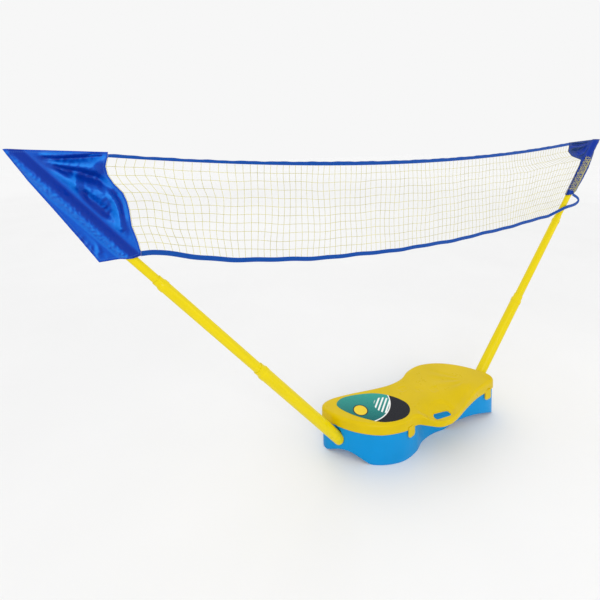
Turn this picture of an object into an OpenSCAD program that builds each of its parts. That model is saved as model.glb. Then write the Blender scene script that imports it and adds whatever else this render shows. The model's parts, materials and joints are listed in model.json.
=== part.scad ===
// Portable net set: a lidded carry case that stands on the floor and is also the base,
// two raked telescopic poles hinged in its ends, and a net hung between the pole tips.
// Frame: origin on the floor under the middle of the whole set, +X along the net, +Z up.
// The case and the poles are drawn point-symmetric about their own middle, the right side being
// the left turned half round, and the finished pieces are then moved along Y into the frame.

/* [Case] */
// Length of the case along X
case_l = 656; // [600:2:720]
// Width across the case's two lobes
case_w = 206; // [190:2:230]
// Height of the tray wall
tray_h = 106; // [96:1:120]
// Height of the whole case with its lid
case_h = 130; // [122:1:144]
// Wall of the tray
tray_wall = 3; // [2:0.5:4]
// Wall of the lid
lid_wall = 2.5; // [2:0.5:3.5]
// Height of the tray floor above the ground
floor_z = 28; // [24:1:34]
// How far the lid's skirt hangs below the tray rim
skirt_drop = 8; // [5:1:12]
// Radius of the lid's rounded top edge
lid_round = 9; // [5:1:12]
// Width of the arch under each pole's foot
foot_arch_w = 149; // [120:1:155]
// Height of the arch under each pole's foot
foot_arch_h = 27; // [18:1:27]
// Width of the long arch in each straight flank
flank_arch_w = 222; // [180:1:230]
// Height of the long arch in each straight flank
flank_arch_h = 25; // [15:1:27]

/* [Grip and latches] */
// Reach of the grip flange beyond the tray wall
grip_reach = 82; // [70:1:88]
// Length of the finger slot
slot_l = 92; // [84:1:100]
// Width of the finger slot
slot_w = 19; // [16:1:22]
// Bar left in front of the finger slot
grip_bar = 14; // [11:1:18]
// Width of a snap tab
tab_w = 28; // [22:1:34]
// How far a snap tab hangs below the skirt
tab_drop = 28; // [20:1:34]

/* [Lid hinge] */
// Diameter of the hinge pins
hinge_pin_d = 4; // [3:0.5:5]
// Wall round the hinge pins
hinge_wall = 3; // [2.5:0.5:4]
// Width of the lid's hinge knuckle
knuckle_w = 26; // [20:1:34]
// Width of each of the tray's hinge ears
ear_w = 9; // [7:1:12]

/* [Poles] */
// Rake of the poles above the floor, in degrees
rake = 47.7; // [46:0.1:49]
// Distance of each pole's pivot from the end of the case
pivot_in = 22; // [19:1:25]
// Height of the pivots
pivot_z = 64; // [62:1:67]
// Sideways offset of each pole from the net line
pivot_y = 10; // [8:1:12]
// Diameter of the pivot screws
screw_d = 8; // [6:0.5:9]
// Outer diameter of the lower tubes
lower_d = 35; // [34:0.5:36]
// Outer diameter of the middle tubes
middle_d = 28; // [27:0.5:28.5]
// Outer diameter of the top tubes
top_d = 21.5; // [20:0.5:22]
// Wall of the tubes
tube_wall = 2; // [1.5:0.25:2.25]
// Pivot to the top end of the lower tube
lower_len = 384; // [360:1:400]
// Length of a middle tube
middle_len = 470; // [455:1:480]
// Length of a top tube
top_len = 462; // [455:1:470]
// Overlap of each tube inside the next
overlap = 55; // [45:1:65]

/* [Net] */
// Gaps along the mesh
mesh_cols = 26; // [20:1:26]
// Gaps up the mesh
mesh_rows = 11; // [10:1:11]
// Thickness of the mesh strings
string_d = 2; // [1.5:0.25:3]
// Width of the top tape
top_tape_w = 14; // [10:1:16]
// Width of the bottom tape
bottom_tape_w = 12; // [10:1:14]
// Thickness of the tapes
tape_t = 2; // [1.5:0.25:2.5]
// Depth of the net below its pointed ends, at the middle
net_depth = 365; // [350:1:380]
// How far the top tape sags at the middle
sag = 65; // [50:1:75]
// Length of the left pocket along its pole
left_pocket_len = 334; // [310:1:345]
// Length of the right pocket along its pole
right_pocket_len = 301; // [280:1:312]
// Room between a pole's end and its pocket's point
tip_room = 74; // [70:1:80]

/* [Hidden] */

$fn = 48;
lid_yellow = [0.93, 0.80, 0.02];
pole_yellow = [0.96, 0.86, 0.03];
tray_blue = [0.0, 0.53, 0.84];
cloth_blue = [0.0, 0.32, 0.78];
steel = [0.72, 0.73, 0.75];
string_yellow = [0.88, 0.86, 0.50];

move_gap = 0.3;     // between pieces that move past each other
pin_gap = 0.05;     // radial clearance of a pin in its bore
seat_gap = 0.05;    // radial clearance of a fixed ring on its tube
eps = 0.01;

// ---- Case outline -------------------------------------------------------------------------
// Half of the outline as shares of half the length and half the width, counter-clockwise from
// the right-hand end. The other half is the same points turned half round.
half_shape = [
    [1.00, -0.58], [0.935, -0.13], [0.80, 0.39], [0.61, 0.81], [0.39, 1.00], [0.19, 0.91],
    [0.03, 0.68], [-0.16, 0.61], [-0.38, 0.69], [-0.62, 0.83], [-0.84, 0.91], [-0.965, 0.83]
];
whole_shape = concat(half_shape, -half_shape);
outline_steps = 4;

// One point of a smooth closed curve through the points p, between p[i] and p[i + 1]
function curve_point(p, i, t) =
    let (n = len(p), a = p[(i + n - 1) % n], b = p[i], c = p[(i + 1) % n], d = p[(i + 2) % n])
    0.5 * (2 * b + (c - a) * t + (2 * a - 5 * b + 4 * c - d) * t * t
        + (3 * b - a - 3 * c + d) * t * t * t);
function smooth_closed(p, steps) =
    [for (i = [0:len(p) - 1]) for (k = [0:steps - 1]) curve_point(p, i, k / steps)];
function unit(v) = v / norm(v);
function inset(p, by) =
    let (n = len(p))
    [for (i = [0:n - 1])
        let (t = unit(p[(i + 1) % n] - p[(i + n - 1) % n]))
        p[i] + by * [-t[1], t[0]]];
case_points = smooth_closed([for (s = whole_shape) [s[0] * case_l / 2, s[1] * case_w / 2]],
    outline_steps);

// Where the outline p crosses the line at x, on the back (side 1) or the front (side -1)
function cross_y(p, x, side) =
    let (n = len(p), ys = [for (i = [0:n - 1])
        let (a = p[i], b = p[(i + 1) % n])
        if ((a[0] - x) * (b[0] - x) <= 0 && a[0] != b[0])
            a[1] + (b[1] - a[1]) * (x - a[0]) / (b[0] - a[0])])
    side * max([for (y = ys) side * y]);

tray_inset = lid_wall + 1;              // tray wall's outer face inside the lid's outer face
tray_inner = tray_inset + tray_wall;
ledge_inset = tray_inner + 1;           // the lid's ledge covers the tray's rim
skirt_z = tray_h - skirt_drop;
lid_under = tray_h + move_gap;

module slab(inset_by, z0, z1) {
    translate([0, 0, z0])
        linear_extrude(z1 - z0)
            polygon(inset(case_points, inset_by));
}

// ---- Poles' own values ---------------------------------------------------------------------
pivot_x = case_l / 2 - pivot_in;
pole_dir = [-cos(rake), 0, sin(rake)];  // up the left pole
nose_shift = 7;                         // centre of the rounded lower end, below the pivot
pole_swing = 12;                        // how far the poles lean in before they meet the lid
swing_room = 0.6;
heel_solid = 16;                        // solid end of the lower tube above the pivot
collar_grip = 14;                       // length of a collar round its tube
collar_neck = 20;                       // reduced neck of a collar above its tube
collar_wall = 1;                        // collar round the outside of its tube
neck_wall = 1.7;
bush_len = 20;
cap_len = 14;
cap_crown = 8.5;
slide_gap = move_gap;                   // radial gap between a tube and the neck round it
lower_bore = lower_d - 2 * tube_wall;
middle_bore = middle_d - 2 * tube_wall;
top_bore = top_d - 2 * tube_wall;
// Distances along the pole from the pivot, fully drawn out
middle_start = lower_len - overlap;
middle_end = middle_start + middle_len;
top_start = middle_end - overlap;
top_end = top_start + top_len;

// Recess for the pole's foot in the end of the tray
recess_half = lower_d / 2 + 2;
recess_in = pivot_x - nose_shift * cos(rake) - lower_d / 2 - 2.5;
boss_d = screw_d + 10;
boss_len = 15;
screw_head_d = screw_d + 6;
screw_head_h = 3;
sill_z = pivot_z - screw_head_d / 2 - 1.5;

// ---- Lid hinge's own values ----------------------------------------------------------------
hinge_z = skirt_z - 2;
hinge_r = hinge_pin_d / 2 + hinge_wall;
hinge_y = case_w / 2 + hinge_r + 4;
hinge_xs = [-0.80 * case_l / 2, 0.38 * case_l / 2];
ear_gap = 0.4;
hinge_span = knuckle_w + 2 * ear_gap + 2 * ear_w;
ear_drop = 12;

// ---- Grip flange ---------------------------------------------------------------------------
grip_x = 0.07 * case_l / 2;             // middle of the grip
grip_y = cross_y(case_points, grip_x, -1) - grip_reach;
grip_top = case_h - 16;
grip_wall = 3;
grip_lip = 10;                          // height of the lip round the flange
slot_y = grip_y + grip_bar + slot_w / 2;
front_left_x = -0.28 * case_l / 2;
front_right_x = 0.80 * case_l / 2;
front_left_y = cross_y(case_points, front_left_x, -1);
front_right_y = cross_y(case_points, front_right_x, -1);
grip_shape = [
    [front_left_x - 12, front_left_y + 17], [front_left_x + 8, front_left_y + 2.5],
    [front_left_x + 30, front_left_y - 2], [grip_x - 64, grip_y + 24],
    [grip_x - 30, grip_y + 4], [grip_x, grip_y], [grip_x + 40, grip_y + 4],
    [grip_x + 118, grip_y + 27], [grip_x + 190, grip_y + 45],
    [front_right_x - 4, front_right_y], [front_right_x, front_right_y + 27],
    [grip_x + 157, front_right_y + 38], [grip_x + 37, front_right_y + 43],
    [grip_x - 73, front_left_y + 41]
];
grip_points = smooth_closed(grip_shape, 4);

module grip_slab(inset_by, z0, z1) {
    translate([0, 0, z0])
        linear_extrude(z1 - z0)
            polygon(inset(grip_points, inset_by));
}

module slot(z0, z1) {
    for (s = [-1, 1])
        translate([grip_x + s * (slot_l - slot_w) / 2, slot_y, z0])
            cylinder(d = slot_w, h = z1 - z0);
    translate([grip_x - (slot_l - slot_w) / 2, slot_y - slot_w / 2, z0])
        cube([slot_l - slot_w, slot_w, z1 - z0]);
}

// A bar along Y that cuts an arch of width w and height h out of the tray's skirt
module arch(x, w, h, y0, y1) {
    translate([x, y0, -w * w / (8 * h) + h / 2])
        rotate([-90, 0, 0])
            cylinder(r = w * w / (8 * h) + h / 2, h = y1 - y0, $fn = 96);
}

// ---- Tray ----------------------------------------------------------------------------------
recess_wall = 3;
flank_arch_end = 17;                    // from the end of the case to the long arch
sweep_gap = 1.2;                        // round the pole's foot where it leans in

module tray_half_adds() {
    // Walls of the recess that takes the left pole's foot
    difference() {
        translate([-recess_in - 0.5, pivot_y - recess_half - recess_wall, floor_z])
            cube([recess_wall + 0.5, 2 * (recess_half + recess_wall), tray_h - floor_z]);
        slab(-20, floor_z - 1, floor_z);
    }
    intersection() {
        translate([-case_l / 2, pivot_y + recess_half, floor_z])
            cube([case_l / 2 - recess_in + recess_wall, recess_wall, tray_h - floor_z]);
        slab(tray_inset, floor_z, tray_h);
    }
    intersection() {
        translate([-case_l / 2, pivot_y - recess_half - recess_wall, floor_z])
            cube([case_l / 2 - recess_in + recess_wall, recess_wall, tray_h - floor_z]);
        slab(tray_inset, floor_z, tray_h);
    }
    // Boss behind the recess for the pivot screw
    translate([-pivot_x, pivot_y + recess_half + eps, pivot_z])
        rotate([-90, 0, 0])
            cylinder(d = boss_d, h = boss_len);
}

// Space that the left pole's foot needs at a lean, with some room round it
module pole_foot(lean, room) {
    translate([-pivot_x, pivot_y, pivot_z])
        rotate([0, rake - 90 + lean, 0])
            translate([0, 0, -nose_shift])
                cylinder(d = lower_d + 2 * room, h = lower_len);
}

module pole_nose() {
    translate([-pivot_x, pivot_y, pivot_z])
        rotate([0, rake - 90 + pole_swing / 2, 0])
            translate([0, 0, -nose_shift])
                sphere(d = lower_d + 2 * sweep_gap, $fn = 64);
}

// The left pole's sill: a block in the recess, cut to the tube's underside
module pole_sill() {
    difference() {
        intersection() {
            translate([-case_l / 2, pivot_y - recess_half, floor_z])
                cube([case_l / 2 - pivot_x + 4, 2 * recess_half, sill_z - floor_z]);
            slab(tray_inset, floor_z, tray_h);
        }
        pole_foot(0, move_gap);
        pole_foot(pole_swing, move_gap);
        pole_nose();
    }
}

// A wedge on the recess's inner wall, cut to the pole's upper side where its lean ends
module pole_wedge() {
    difference() {
        intersection() {
            translate([-case_l / 2, pivot_y - recess_half, pivot_z + lower_d / 4])
                cube([case_l / 2 - recess_in, 2 * recess_half, tray_h - pivot_z - lower_d / 4]);
            slab(tray_inset, floor_z, tray_h);
        }
        translate([-pivot_x, pivot_y, pivot_z])
            rotate([0, rake - 90 + pole_swing, 0]) {
                translate([0, 0, -lower_d])
                    cylinder(d = lower_d + 2 * sweep_gap, h = lower_len);
                translate([-2 * lower_d, -lower_d, -lower_d])
                    cube([2 * lower_d, 2 * lower_d, lower_len]);
            }
    }
}

module tray_half_cuts() {
    // Recess, open at the end and at the top
    translate([-case_l, pivot_y - recess_half, floor_z + tray_wall])
        cube([case_l - recess_in, 2 * recess_half, tray_h]);
    translate([-pivot_x, pivot_y, pivot_z])
        rotate([-90, 0, 0])
            cylinder(d = screw_d + 2 * pin_gap, h = recess_half + boss_len - 3);
    // Arch below the pole's foot and one along the straight back edge
    translate([-0.84 * case_l / 2, -0.05 * case_w / 2, 0])
        rotate([0, 0, -51])
            arch(0, foot_arch_w, foot_arch_h, -0.3 * case_w / 2, 0.3 * case_w / 2);
    arch(-(case_l - flank_arch_w) / 2 + flank_arch_end, flank_arch_w, flank_arch_h,
        0.2 * case_w / 2, case_w);
}

module hinge_ears(hx) {
    // Two ears that reach from the tray's wall out to the hinge axis
    for (s = [-1, 1]) {
        x0 = s > 0 ? knuckle_w / 2 + ear_gap : -knuckle_w / 2 - ear_gap - ear_w;
        wall_y = min(cross_y(case_points, hx + x0, 1), cross_y(case_points, hx + x0 + ear_w, 1))
            - tray_inset;
        translate([hx + x0, 0, 0]) {
            translate([0, hinge_y, hinge_z])
                rotate([0, 90, 0])
                    cylinder(r = hinge_r, h = ear_w);
            translate([0, wall_y - 2, hinge_z - hinge_r - ear_drop])
                cube([ear_w, hinge_y - wall_y + 2, ear_drop + 2]);
            translate([0, wall_y - 2, hinge_z - hinge_r])
                cube([ear_w, hinge_y - wall_y + 2 - hinge_r * 0.3, hinge_r]);
        }
    }
}

module tray() {
    color(tray_blue)
    difference() {
        union() {
            difference() {
                slab(tray_inset, 0, tray_h);
                slab(tray_inner, -1, floor_z);
                slab(tray_inner, floor_z + tray_wall, tray_h + 1);
                for (turn = [0, 180])
                    rotate([0, 0, turn])
                        tray_half_cuts();
            }
            for (turn = [0, 180])
                rotate([0, 0, turn]) {
                    difference() {
                        tray_half_adds();
                        translate([-pivot_x, pivot_y, pivot_z])
                            rotate([-90, 0, 0])
                                cylinder(d = screw_d + 2 * pin_gap, h = recess_half + boss_len - 3);
                    }
                    pole_sill();
                    pole_wedge();
                }
            for (hx = hinge_xs)
                hinge_ears(hx);
        }
        for (hx = hinge_xs)
            translate([hx - hinge_span, hinge_y, hinge_z])
                rotate([0, 90, 0])
                    cylinder(d = hinge_pin_d + 2 * pin_gap, h = 2 * hinge_span);
    }
}

// ---- Lid -----------------------------------------------------------------------------------
round_steps = 3;

// The top edge is rounded in steps, each layer standing inside the one below it
module rounded_case_top() {
    slab(0, skirt_z, case_h - lid_round);
    for (k = [1:round_steps]) {
        a = 90 * (k - 0.5) / round_steps;
        slab(lid_round * (1 - cos(a)), case_h - lid_round - k,
            case_h - lid_round + lid_round * sin(90 * k / round_steps));
    }
}

module grip_flange() {
    difference() {
        union() {
            grip_slab(0, skirt_z, grip_top - 3);
            grip_slab(2, skirt_z + 1, grip_top);
        }
        grip_slab(grip_wall, skirt_z - 1, grip_top - grip_lip / 2);
    }
}

// A snap tab that hangs from the skirt, at x along the front edge
module snap_tab(x) {
    y = cross_y(case_points, x, -1);
    slope = (cross_y(case_points, x + 5, -1) - cross_y(case_points, x - 5, -1)) / 10;
    translate([x, y, skirt_z - tab_drop])
        rotate([0, 0, atan(slope)])
            translate([-tab_w / 2, -1, 0])
                cube([tab_w, lid_wall + 0.2, tab_drop + 6]);
}

module lid_knuckle(hx) {
    edge_y = cross_y(case_points, hx, 1);
    translate([hx - knuckle_w / 2, hinge_y, hinge_z])
        rotate([0, 90, 0])
            cylinder(r = hinge_r, h = knuckle_w);
    translate([hx - knuckle_w / 2, edge_y - lid_wall, skirt_z + 1])
        cube([knuckle_w, hinge_y - edge_y + lid_wall + hinge_r * 0.6, 4]);
    translate([hx - knuckle_w / 2, hinge_y - hinge_r * 0.6, hinge_z])
        cube([knuckle_w, hinge_r * 1.2, 6]);
}

module lid() {
    color(lid_yellow)
    difference() {
        union() {
            rounded_case_top();
            grip_flange();
            // Collar round the finger slot
            translate([grip_x - slot_l / 2 - grip_wall, slot_y - slot_w / 2 - grip_wall,
                grip_top - grip_lip])
                cube([slot_l + 2 * grip_wall, slot_w + 2 * grip_wall, grip_lip - 2]);
            for (x = [front_left_x - 2, front_right_x + 15])
                snap_tab(x);
            for (hx = hinge_xs)
                lid_knuckle(hx);
        }
        slab(lid_wall, skirt_z - 1, lid_under);
        slab(ledge_inset, lid_under - 1, case_h - lid_wall);
        slot(skirt_z - 1, case_h + 1);
        // Hollows in the ends, where the poles lean in to their stop
        for (turn = [0, 180])
            rotate([0, 0, turn])
                translate([-pivot_x, pivot_y, pivot_z])
                    rotate([0, rake - 90 + pole_swing, 0])
                        cylinder(d = lower_d + 2 * swing_room, h = lower_len);
        for (hx = hinge_xs)
            translate([hx - hinge_span, hinge_y, hinge_z])
                rotate([0, 90, 0])
                    cylinder(d = hinge_pin_d + 2 * pin_gap, h = 2 * hinge_span);
    }
}

// ---- Label on the left lobe ----------------------------------------------------------------
label_t = 0.5;
label_shape = [
    [-0.855, 0.52], [-0.77, 0.72], [-0.62, 0.68], [-0.40, 0.44], [-0.26, 0.06], [-0.19, -0.40],
    [-0.24, -0.74], [-0.37, -0.88], [-0.56, -0.74], [-0.70, -0.36], [-0.81, 0.10]
];

module label() {
    color("teal")
    translate([0, 0, case_h])
        linear_extrude(label_t)
            polygon(smooth_closed([for (s = label_shape) [s[0] * case_l / 2, s[1] * case_w / 2]],
                5));
}

module hinge_pin(hx) {
    color(steel)
    translate([hx - hinge_span / 2, hinge_y, hinge_z])
        rotate([0, 90, 0])
            cylinder(d = hinge_pin_d, h = hinge_span);
}

// ---- Poles: each piece is drawn on the left and turned half round for the right ------------
module on_side(side) {
    rotate([0, 0, side == "left" ? 0 : 180])
        children();
}

// Along the left pole, at a distance from the pivot
module up_pole(along) {
    translate([-pivot_x, pivot_y, pivot_z])
        rotate([0, rake - 90, 0])
            translate([0, 0, along])
                children();
}

module lower_tube() {
    color(pole_yellow)
    difference() {
        union() {
            up_pole(-nose_shift)
                cylinder(d = lower_d, h = lower_len + nose_shift);
            up_pole(-nose_shift)
                sphere(d = lower_d, $fn = 64);
        }
        up_pole(heel_solid)
            cylinder(d = lower_bore, h = lower_len);
        // Pivot bore, with a counterbore for the screw's head at the front
        translate([-pivot_x, pivot_y - lower_d, pivot_z])
            rotate([-90, 0, 0])
                cylinder(d = screw_d + 2 * pin_gap, h = 2 * lower_d);
        translate([-pivot_x, pivot_y - lower_d, pivot_z])
            rotate([-90, 0, 0])
                cylinder(d = screw_head_d + 1, h = lower_d / 2 + screw_head_h + 1);
    }
}

module pivot_screw() {
    head_y = pivot_y - lower_d / 2 + 1;
    color(steel)
    translate([-pivot_x, head_y, pivot_z])
        rotate([-90, 0, 0]) {
            cylinder(d = screw_head_d, h = screw_head_h - move_gap);
            cylinder(d = screw_d, h = lower_d / 2 - 1 + recess_half + boss_len - 4);
        }
}

// A stepped ring on the end of a tube: it grips the tube and its neck guides the next one
module collar(at, tube_d, inner_d) {
    color(pole_yellow)
    up_pole(at - collar_grip)
        rotate_extrude()
            polygon([
                [tube_d / 2 + seat_gap, 0],
                [tube_d / 2 + collar_wall, 0],
                [tube_d / 2 + collar_wall, collar_grip - 2],
                [inner_d / 2 + slide_gap + neck_wall, collar_grip + 4],
                [inner_d / 2 + slide_gap + neck_wall, collar_grip + collar_neck - 1],
                [inner_d / 2 + slide_gap + neck_wall - 1, collar_grip + collar_neck],
                [inner_d / 2 + slide_gap, collar_grip + collar_neck],
                [inner_d / 2 + slide_gap, collar_grip],
                [tube_d / 2 + seat_gap, collar_grip]
            ]);
}

// A guide ring on the foot of a sliding tube, which the collar's neck stops
module bush(at, tube_d, bore_d) {
    color(pole_yellow)
    up_pole(at)
        difference() {
            cylinder(d = bore_d - 2 * slide_gap, h = bush_len);
            translate([0, 0, -1])
                cylinder(d = tube_d + 2 * seat_gap, h = bush_len + 2);
        }
}

module tube(at, tube_d, length) {
    color(pole_yellow)
    up_pole(at)
        difference() {
            cylinder(d = tube_d, h = length);
            translate([0, 0, -1])
                cylinder(d = tube_d - 2 * tube_wall, h = length + 2);
        }
}

module tip_cap() {
    color(pole_yellow)
    up_pole(top_end)
        rotate_extrude()
            polygon([
                [0, -cap_len], [top_bore / 2 - seat_gap, -cap_len], [top_bore / 2 - seat_gap, 0],
                [top_d / 2, 0], [top_d / 2, cap_crown - 5.5], [top_d / 2 - 2, cap_crown - 2.5],
                [top_d / 4, cap_crown - 0.5], [0, cap_crown]
            ]);
}

bush_lift = overlap - bush_len - 1;     // the bush stops just under the collar's neck

// ---- Net -----------------------------------------------------------------------------------
tip_at = top_end + cap_crown + tip_room;    // the pockets' points, along the poles
tip_x = pivot_x + tip_at * cos(rake);
tip_z = pivot_z + tip_at * sin(rake);
net_skew = pivot_y / tip_x;                 // the net line runs from one pole to the other
function net_y(x) = -x * net_skew;
function pole_x(z) = pivot_x + (z - pivot_z) / tan(rake);
function smooth(t) = let (q = min(max(t, 0), 1)) q * q * (3 - 2 * q);

// The bottom tape's line: share of the half length, and depth as a share of the net's depth
bottom_line = [
    [-0.84, 0.727], [-0.77, 0.733], [-0.735, 0.740], [-0.627, 0.828], [-0.49, 0.908],
    [-0.332, 0.967], [-0.12, 1.010], [0.122, 1.022], [0.379, 0.989], [0.683, 0.915],
    [0.836, 0.853], [0.90, 0.829]
];
function along_line(p, x) =
    let (i = max([for (k = [0:len(p) - 2]) x >= p[k][0] || k == 0 ? k : 0]),
        a = p[max(i - 1, 0)], b = p[i], c = p[i + 1], d = p[min(i + 2, len(p) - 1)],
        w = c[0] - b[0],
        t = (x - b[0]) / w,
        m0 = (c[1] - a[1]) / (c[0] - a[0]),
        m1 = (d[1] - b[1]) / (d[0] - b[0]))
    (2 * t * t * t - 3 * t * t + 1) * b[1] + (t * t * t - 2 * t * t + t) * w * m0
        + (3 * t * t - 2 * t * t * t) * c[1] + (t * t * t - t * t) * w * m1;
function bottom_z(x) = tip_z - net_depth * along_line(bottom_line, x / tip_x);

// The top tape's lower edge: a sag between the pockets, then straight to the points
straight_from = 0.82;
function top_z(x) =
    let (u = abs(x) / tip_x, edge = tip_z - top_tape_w - sag * 0.22)
    u <= straight_from
        ? edge - sag * 0.78 * (1 - u * u / (straight_from * straight_from))
        : edge + (tip_z - top_tape_w - edge) * (u - straight_from) / (1 - straight_from);

// Where the mesh ends, row by row from the bottom: how far inside the pole's line
left_inside = [36, 52, 66, 79, 97, 115, 131, 143, 144, 151, 167, 192];
right_inside = [17, 17, 17.5, 21.5, 21.5, 24, 30, 32, 42, 143, 198, 215];
left_foot_z = tip_z - 0.735 * net_depth;
right_foot_z = tip_z - 0.90 * net_depth;
function inside(side, t) =
    let (p = side < 0 ? left_inside : right_inside, q = min(max(t, 0), 1) * (len(p) - 1),
        i = min(floor(q), len(p) - 2))
    p[i] + (p[i + 1] - p[i]) * (q - i);
function edge_x(side, t) =
    let (foot = side < 0 ? left_foot_z : right_foot_z, head = tip_z - top_tape_w)
    side * (pole_x(foot + t * (head - foot)) - inside(side, t));

// A point of the mesh: u runs along it and t up it, both from 0 to 1
function mesh_x(u, t) = edge_x(-1, t) + u * (edge_x(1, t) - edge_x(-1, t));
function mesh_z(x, t) =
    let (z0 = bottom_z(x) + move_gap, z1 = top_z(x) - move_gap)
    z0 + t * (z1 - z0);

// A closed skin over rings of equal point counts
module skin(rings) {
    n = len(rings[0]);
    m = len(rings);
    points = [for (r = rings) each r];
    sides = [for (j = [0:m - 2]) for (i = [0:n - 1])
        let (a = j * n + i, b = j * n + (i + 1) % n)
        each [[a, b + n, b], [a, a + n, b + n]]];
    ends = [
        for (i = [1:n - 2]) [0, i, i + 1],
        for (i = [1:n - 2]) [(m - 1) * n, (m - 1) * n + i + 1, (m - 1) * n + i]
    ];
    polyhedron(points, concat(sides, ends), convexity = 8);
}

// A section of a tape on edge: centre p, across its width the unit vector n
function tape_ring(p, n, w) =
    let (a = p - n * w / 2, b = p + n * w / 2, y = [0, tape_t / 2, 0])
    [a - y, a + y, b + y, b - y];

module top_tape() {
    color(cloth_blue)
    skin([for (c = [0:mesh_cols])
        let (x = mesh_x(c / mesh_cols, 1))
        tape_ring([x, net_y(x), top_z(x) + top_tape_w / 2], [0, 0, 1], top_tape_w)]);
}

// The bottom tape runs on in front of the right pole and turns up to the pocket's foot
tape_front = pivot_y + middle_d / 2 + collar_wall + tape_t / 2 + 1;
loop = [
    [30, -tape_front, 0.92], [70, -tape_front, 0.905], [105, -tape_front + 3, 0.893],
    [126, -tape_front + 6, 0.868], [138, -tape_front + 10, 0.83], [138, -tape_front + 14, 0.785],
    [131, -tape_front + 16, 0.745], [122, -tape_front + 17.25, 0.705],
    [118, -tape_front + 17.25, 0.68]
];
module bottom_tape() {
    last = edge_x(1, 0);
    run = [for (c = [0:mesh_cols - 1])
        let (x = mesh_x(c / mesh_cols, 0))
        [x, net_y(x), bottom_z(x) - bottom_tape_w / 2]];
    front = [[last, -tape_front, bottom_z(last) - bottom_tape_w / 2]];
    turn = [for (p = loop) [last + p[0], p[1], tip_z - net_depth * p[2] - bottom_tape_w / 2]];
    path = concat(run, front, turn);
    n = len(path);
    color(cloth_blue)
    skin([for (i = [0:n - 1])
        let (d = path[min(i + 1, n - 1)] - path[max(i - 1, 0)], t = unit([d[0], 0, d[2]]))
        tape_ring(path[i], i < mesh_cols ? [0, 0, 1] : [-t[2], 0, t[0]], bottom_tape_w)]);
}

// The mesh is one flat lattice: four corner points at each knot, on both faces
module net() {
    nc = mesh_cols + 1;
    nr = mesh_rows + 1;
    corners = [[-1, -1], [1, -1], [1, 1], [-1, 1]];
    function at(c, r, k, dy) =
        let (t = r / mesh_rows,
            x = mesh_x(c / mesh_cols, t) + k[0] * string_d / 2,
            z = mesh_z(x, t) + k[1] * string_d / 2
                + (r == 0 ? 1 : r == mesh_rows ? -1 : 0) * string_d / 2)
        [x, net_y(x) + dy * string_d / 2, z];
    points = [for (dy = [-1, 1]) for (r = [0:mesh_rows]) for (c = [0:mesh_cols])
        for (k = corners) at(c, r, k, dy)];
    half = nc * nr * 4;
    function id(c, r, k, side) = side * half + (r * nc + c) * 4 + k;
    function quad(a, b, c, d) = [[a, b, c], [a, c, d]];
    function face(a, b, c, d, side) = side == 1 ? quad(a, b, c, d) : quad(d, c, b, a);
    flats = [for (side = [0, 1]) for (r = [0:mesh_rows]) for (c = [0:mesh_cols]) each concat(
        face(id(c, r, 0, side), id(c, r, 1, side), id(c, r, 2, side), id(c, r, 3, side), side),
        c < mesh_cols
            ? face(id(c, r, 1, side), id(c + 1, r, 0, side), id(c + 1, r, 3, side),
                id(c, r, 2, side), side) : [],
        r < mesh_rows
            ? face(id(c, r, 3, side), id(c, r, 2, side), id(c, r + 1, 1, side),
                id(c, r + 1, 0, side), side) : [])];
    function wall(a, b) = quad(a, a + half, b + half, b);
    holes = [for (r = [0:mesh_rows - 1]) for (c = [0:mesh_cols - 1]) each concat(
        wall(id(c, r, 2, 0), id(c + 1, r, 3, 0)),
        wall(id(c + 1, r, 3, 0), id(c + 1, r + 1, 0, 0)),
        wall(id(c + 1, r + 1, 0, 0), id(c, r + 1, 1, 0)),
        wall(id(c, r + 1, 1, 0), id(c, r, 2, 0)))];
    rim = concat(
        [for (c = [0:mesh_cols]) each wall(id(c, 0, 1, 0), id(c, 0, 0, 0))],
        [for (c = [0:mesh_cols - 1]) each wall(id(c + 1, 0, 0, 0), id(c, 0, 1, 0))],
        [for (c = [0:mesh_cols]) each wall(id(c, mesh_rows, 3, 0), id(c, mesh_rows, 2, 0))],
        [for (c = [0:mesh_cols - 1])
            each wall(id(c, mesh_rows, 2, 0), id(c + 1, mesh_rows, 3, 0))],
        [for (r = [0:mesh_rows]) each wall(id(0, r, 0, 0), id(0, r, 3, 0))],
        [for (r = [0:mesh_rows - 1]) each wall(id(0, r, 3, 0), id(0, r + 1, 0, 0))],
        [for (r = [0:mesh_rows]) each wall(id(mesh_cols, r, 2, 0), id(mesh_cols, r, 1, 0))],
        [for (r = [0:mesh_rows - 1])
            each wall(id(mesh_cols, r + 1, 1, 0), id(mesh_cols, r, 2, 0))]);
    color(string_yellow)
        polyhedron(points, concat(flats, holes, rim), convexity = 20);
}

// ---- End pockets: cloth wrapped round the top tubes, with folds that spread from the points --
pocket_edge = 2.5;                          // half thickness at the pocket's edges
pocket_bulge = top_d / 2 + move_gap + 4.5;  // half thickness over the tube
bulge_reach = top_d + 1;
fold_depth = 5;
left_rows = concat([-1], [for (k = [0:2 * mesh_rows]) k / 2], [mesh_rows + 1]);
right_rows = concat([2.4, 2.7], [for (k = [6:2 * mesh_rows]) k / 2], [mesh_rows + 1]);
left_outside = [53, 41, 30, 20, 3];         // outer edge, square to the pole's line
right_outside = [36, 42, 43, 30, 3];
left_foot_at = tip_at - left_pocket_len;    // outer foot corner, along the pole's line
right_foot_at = tip_at - right_pocket_len;

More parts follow.
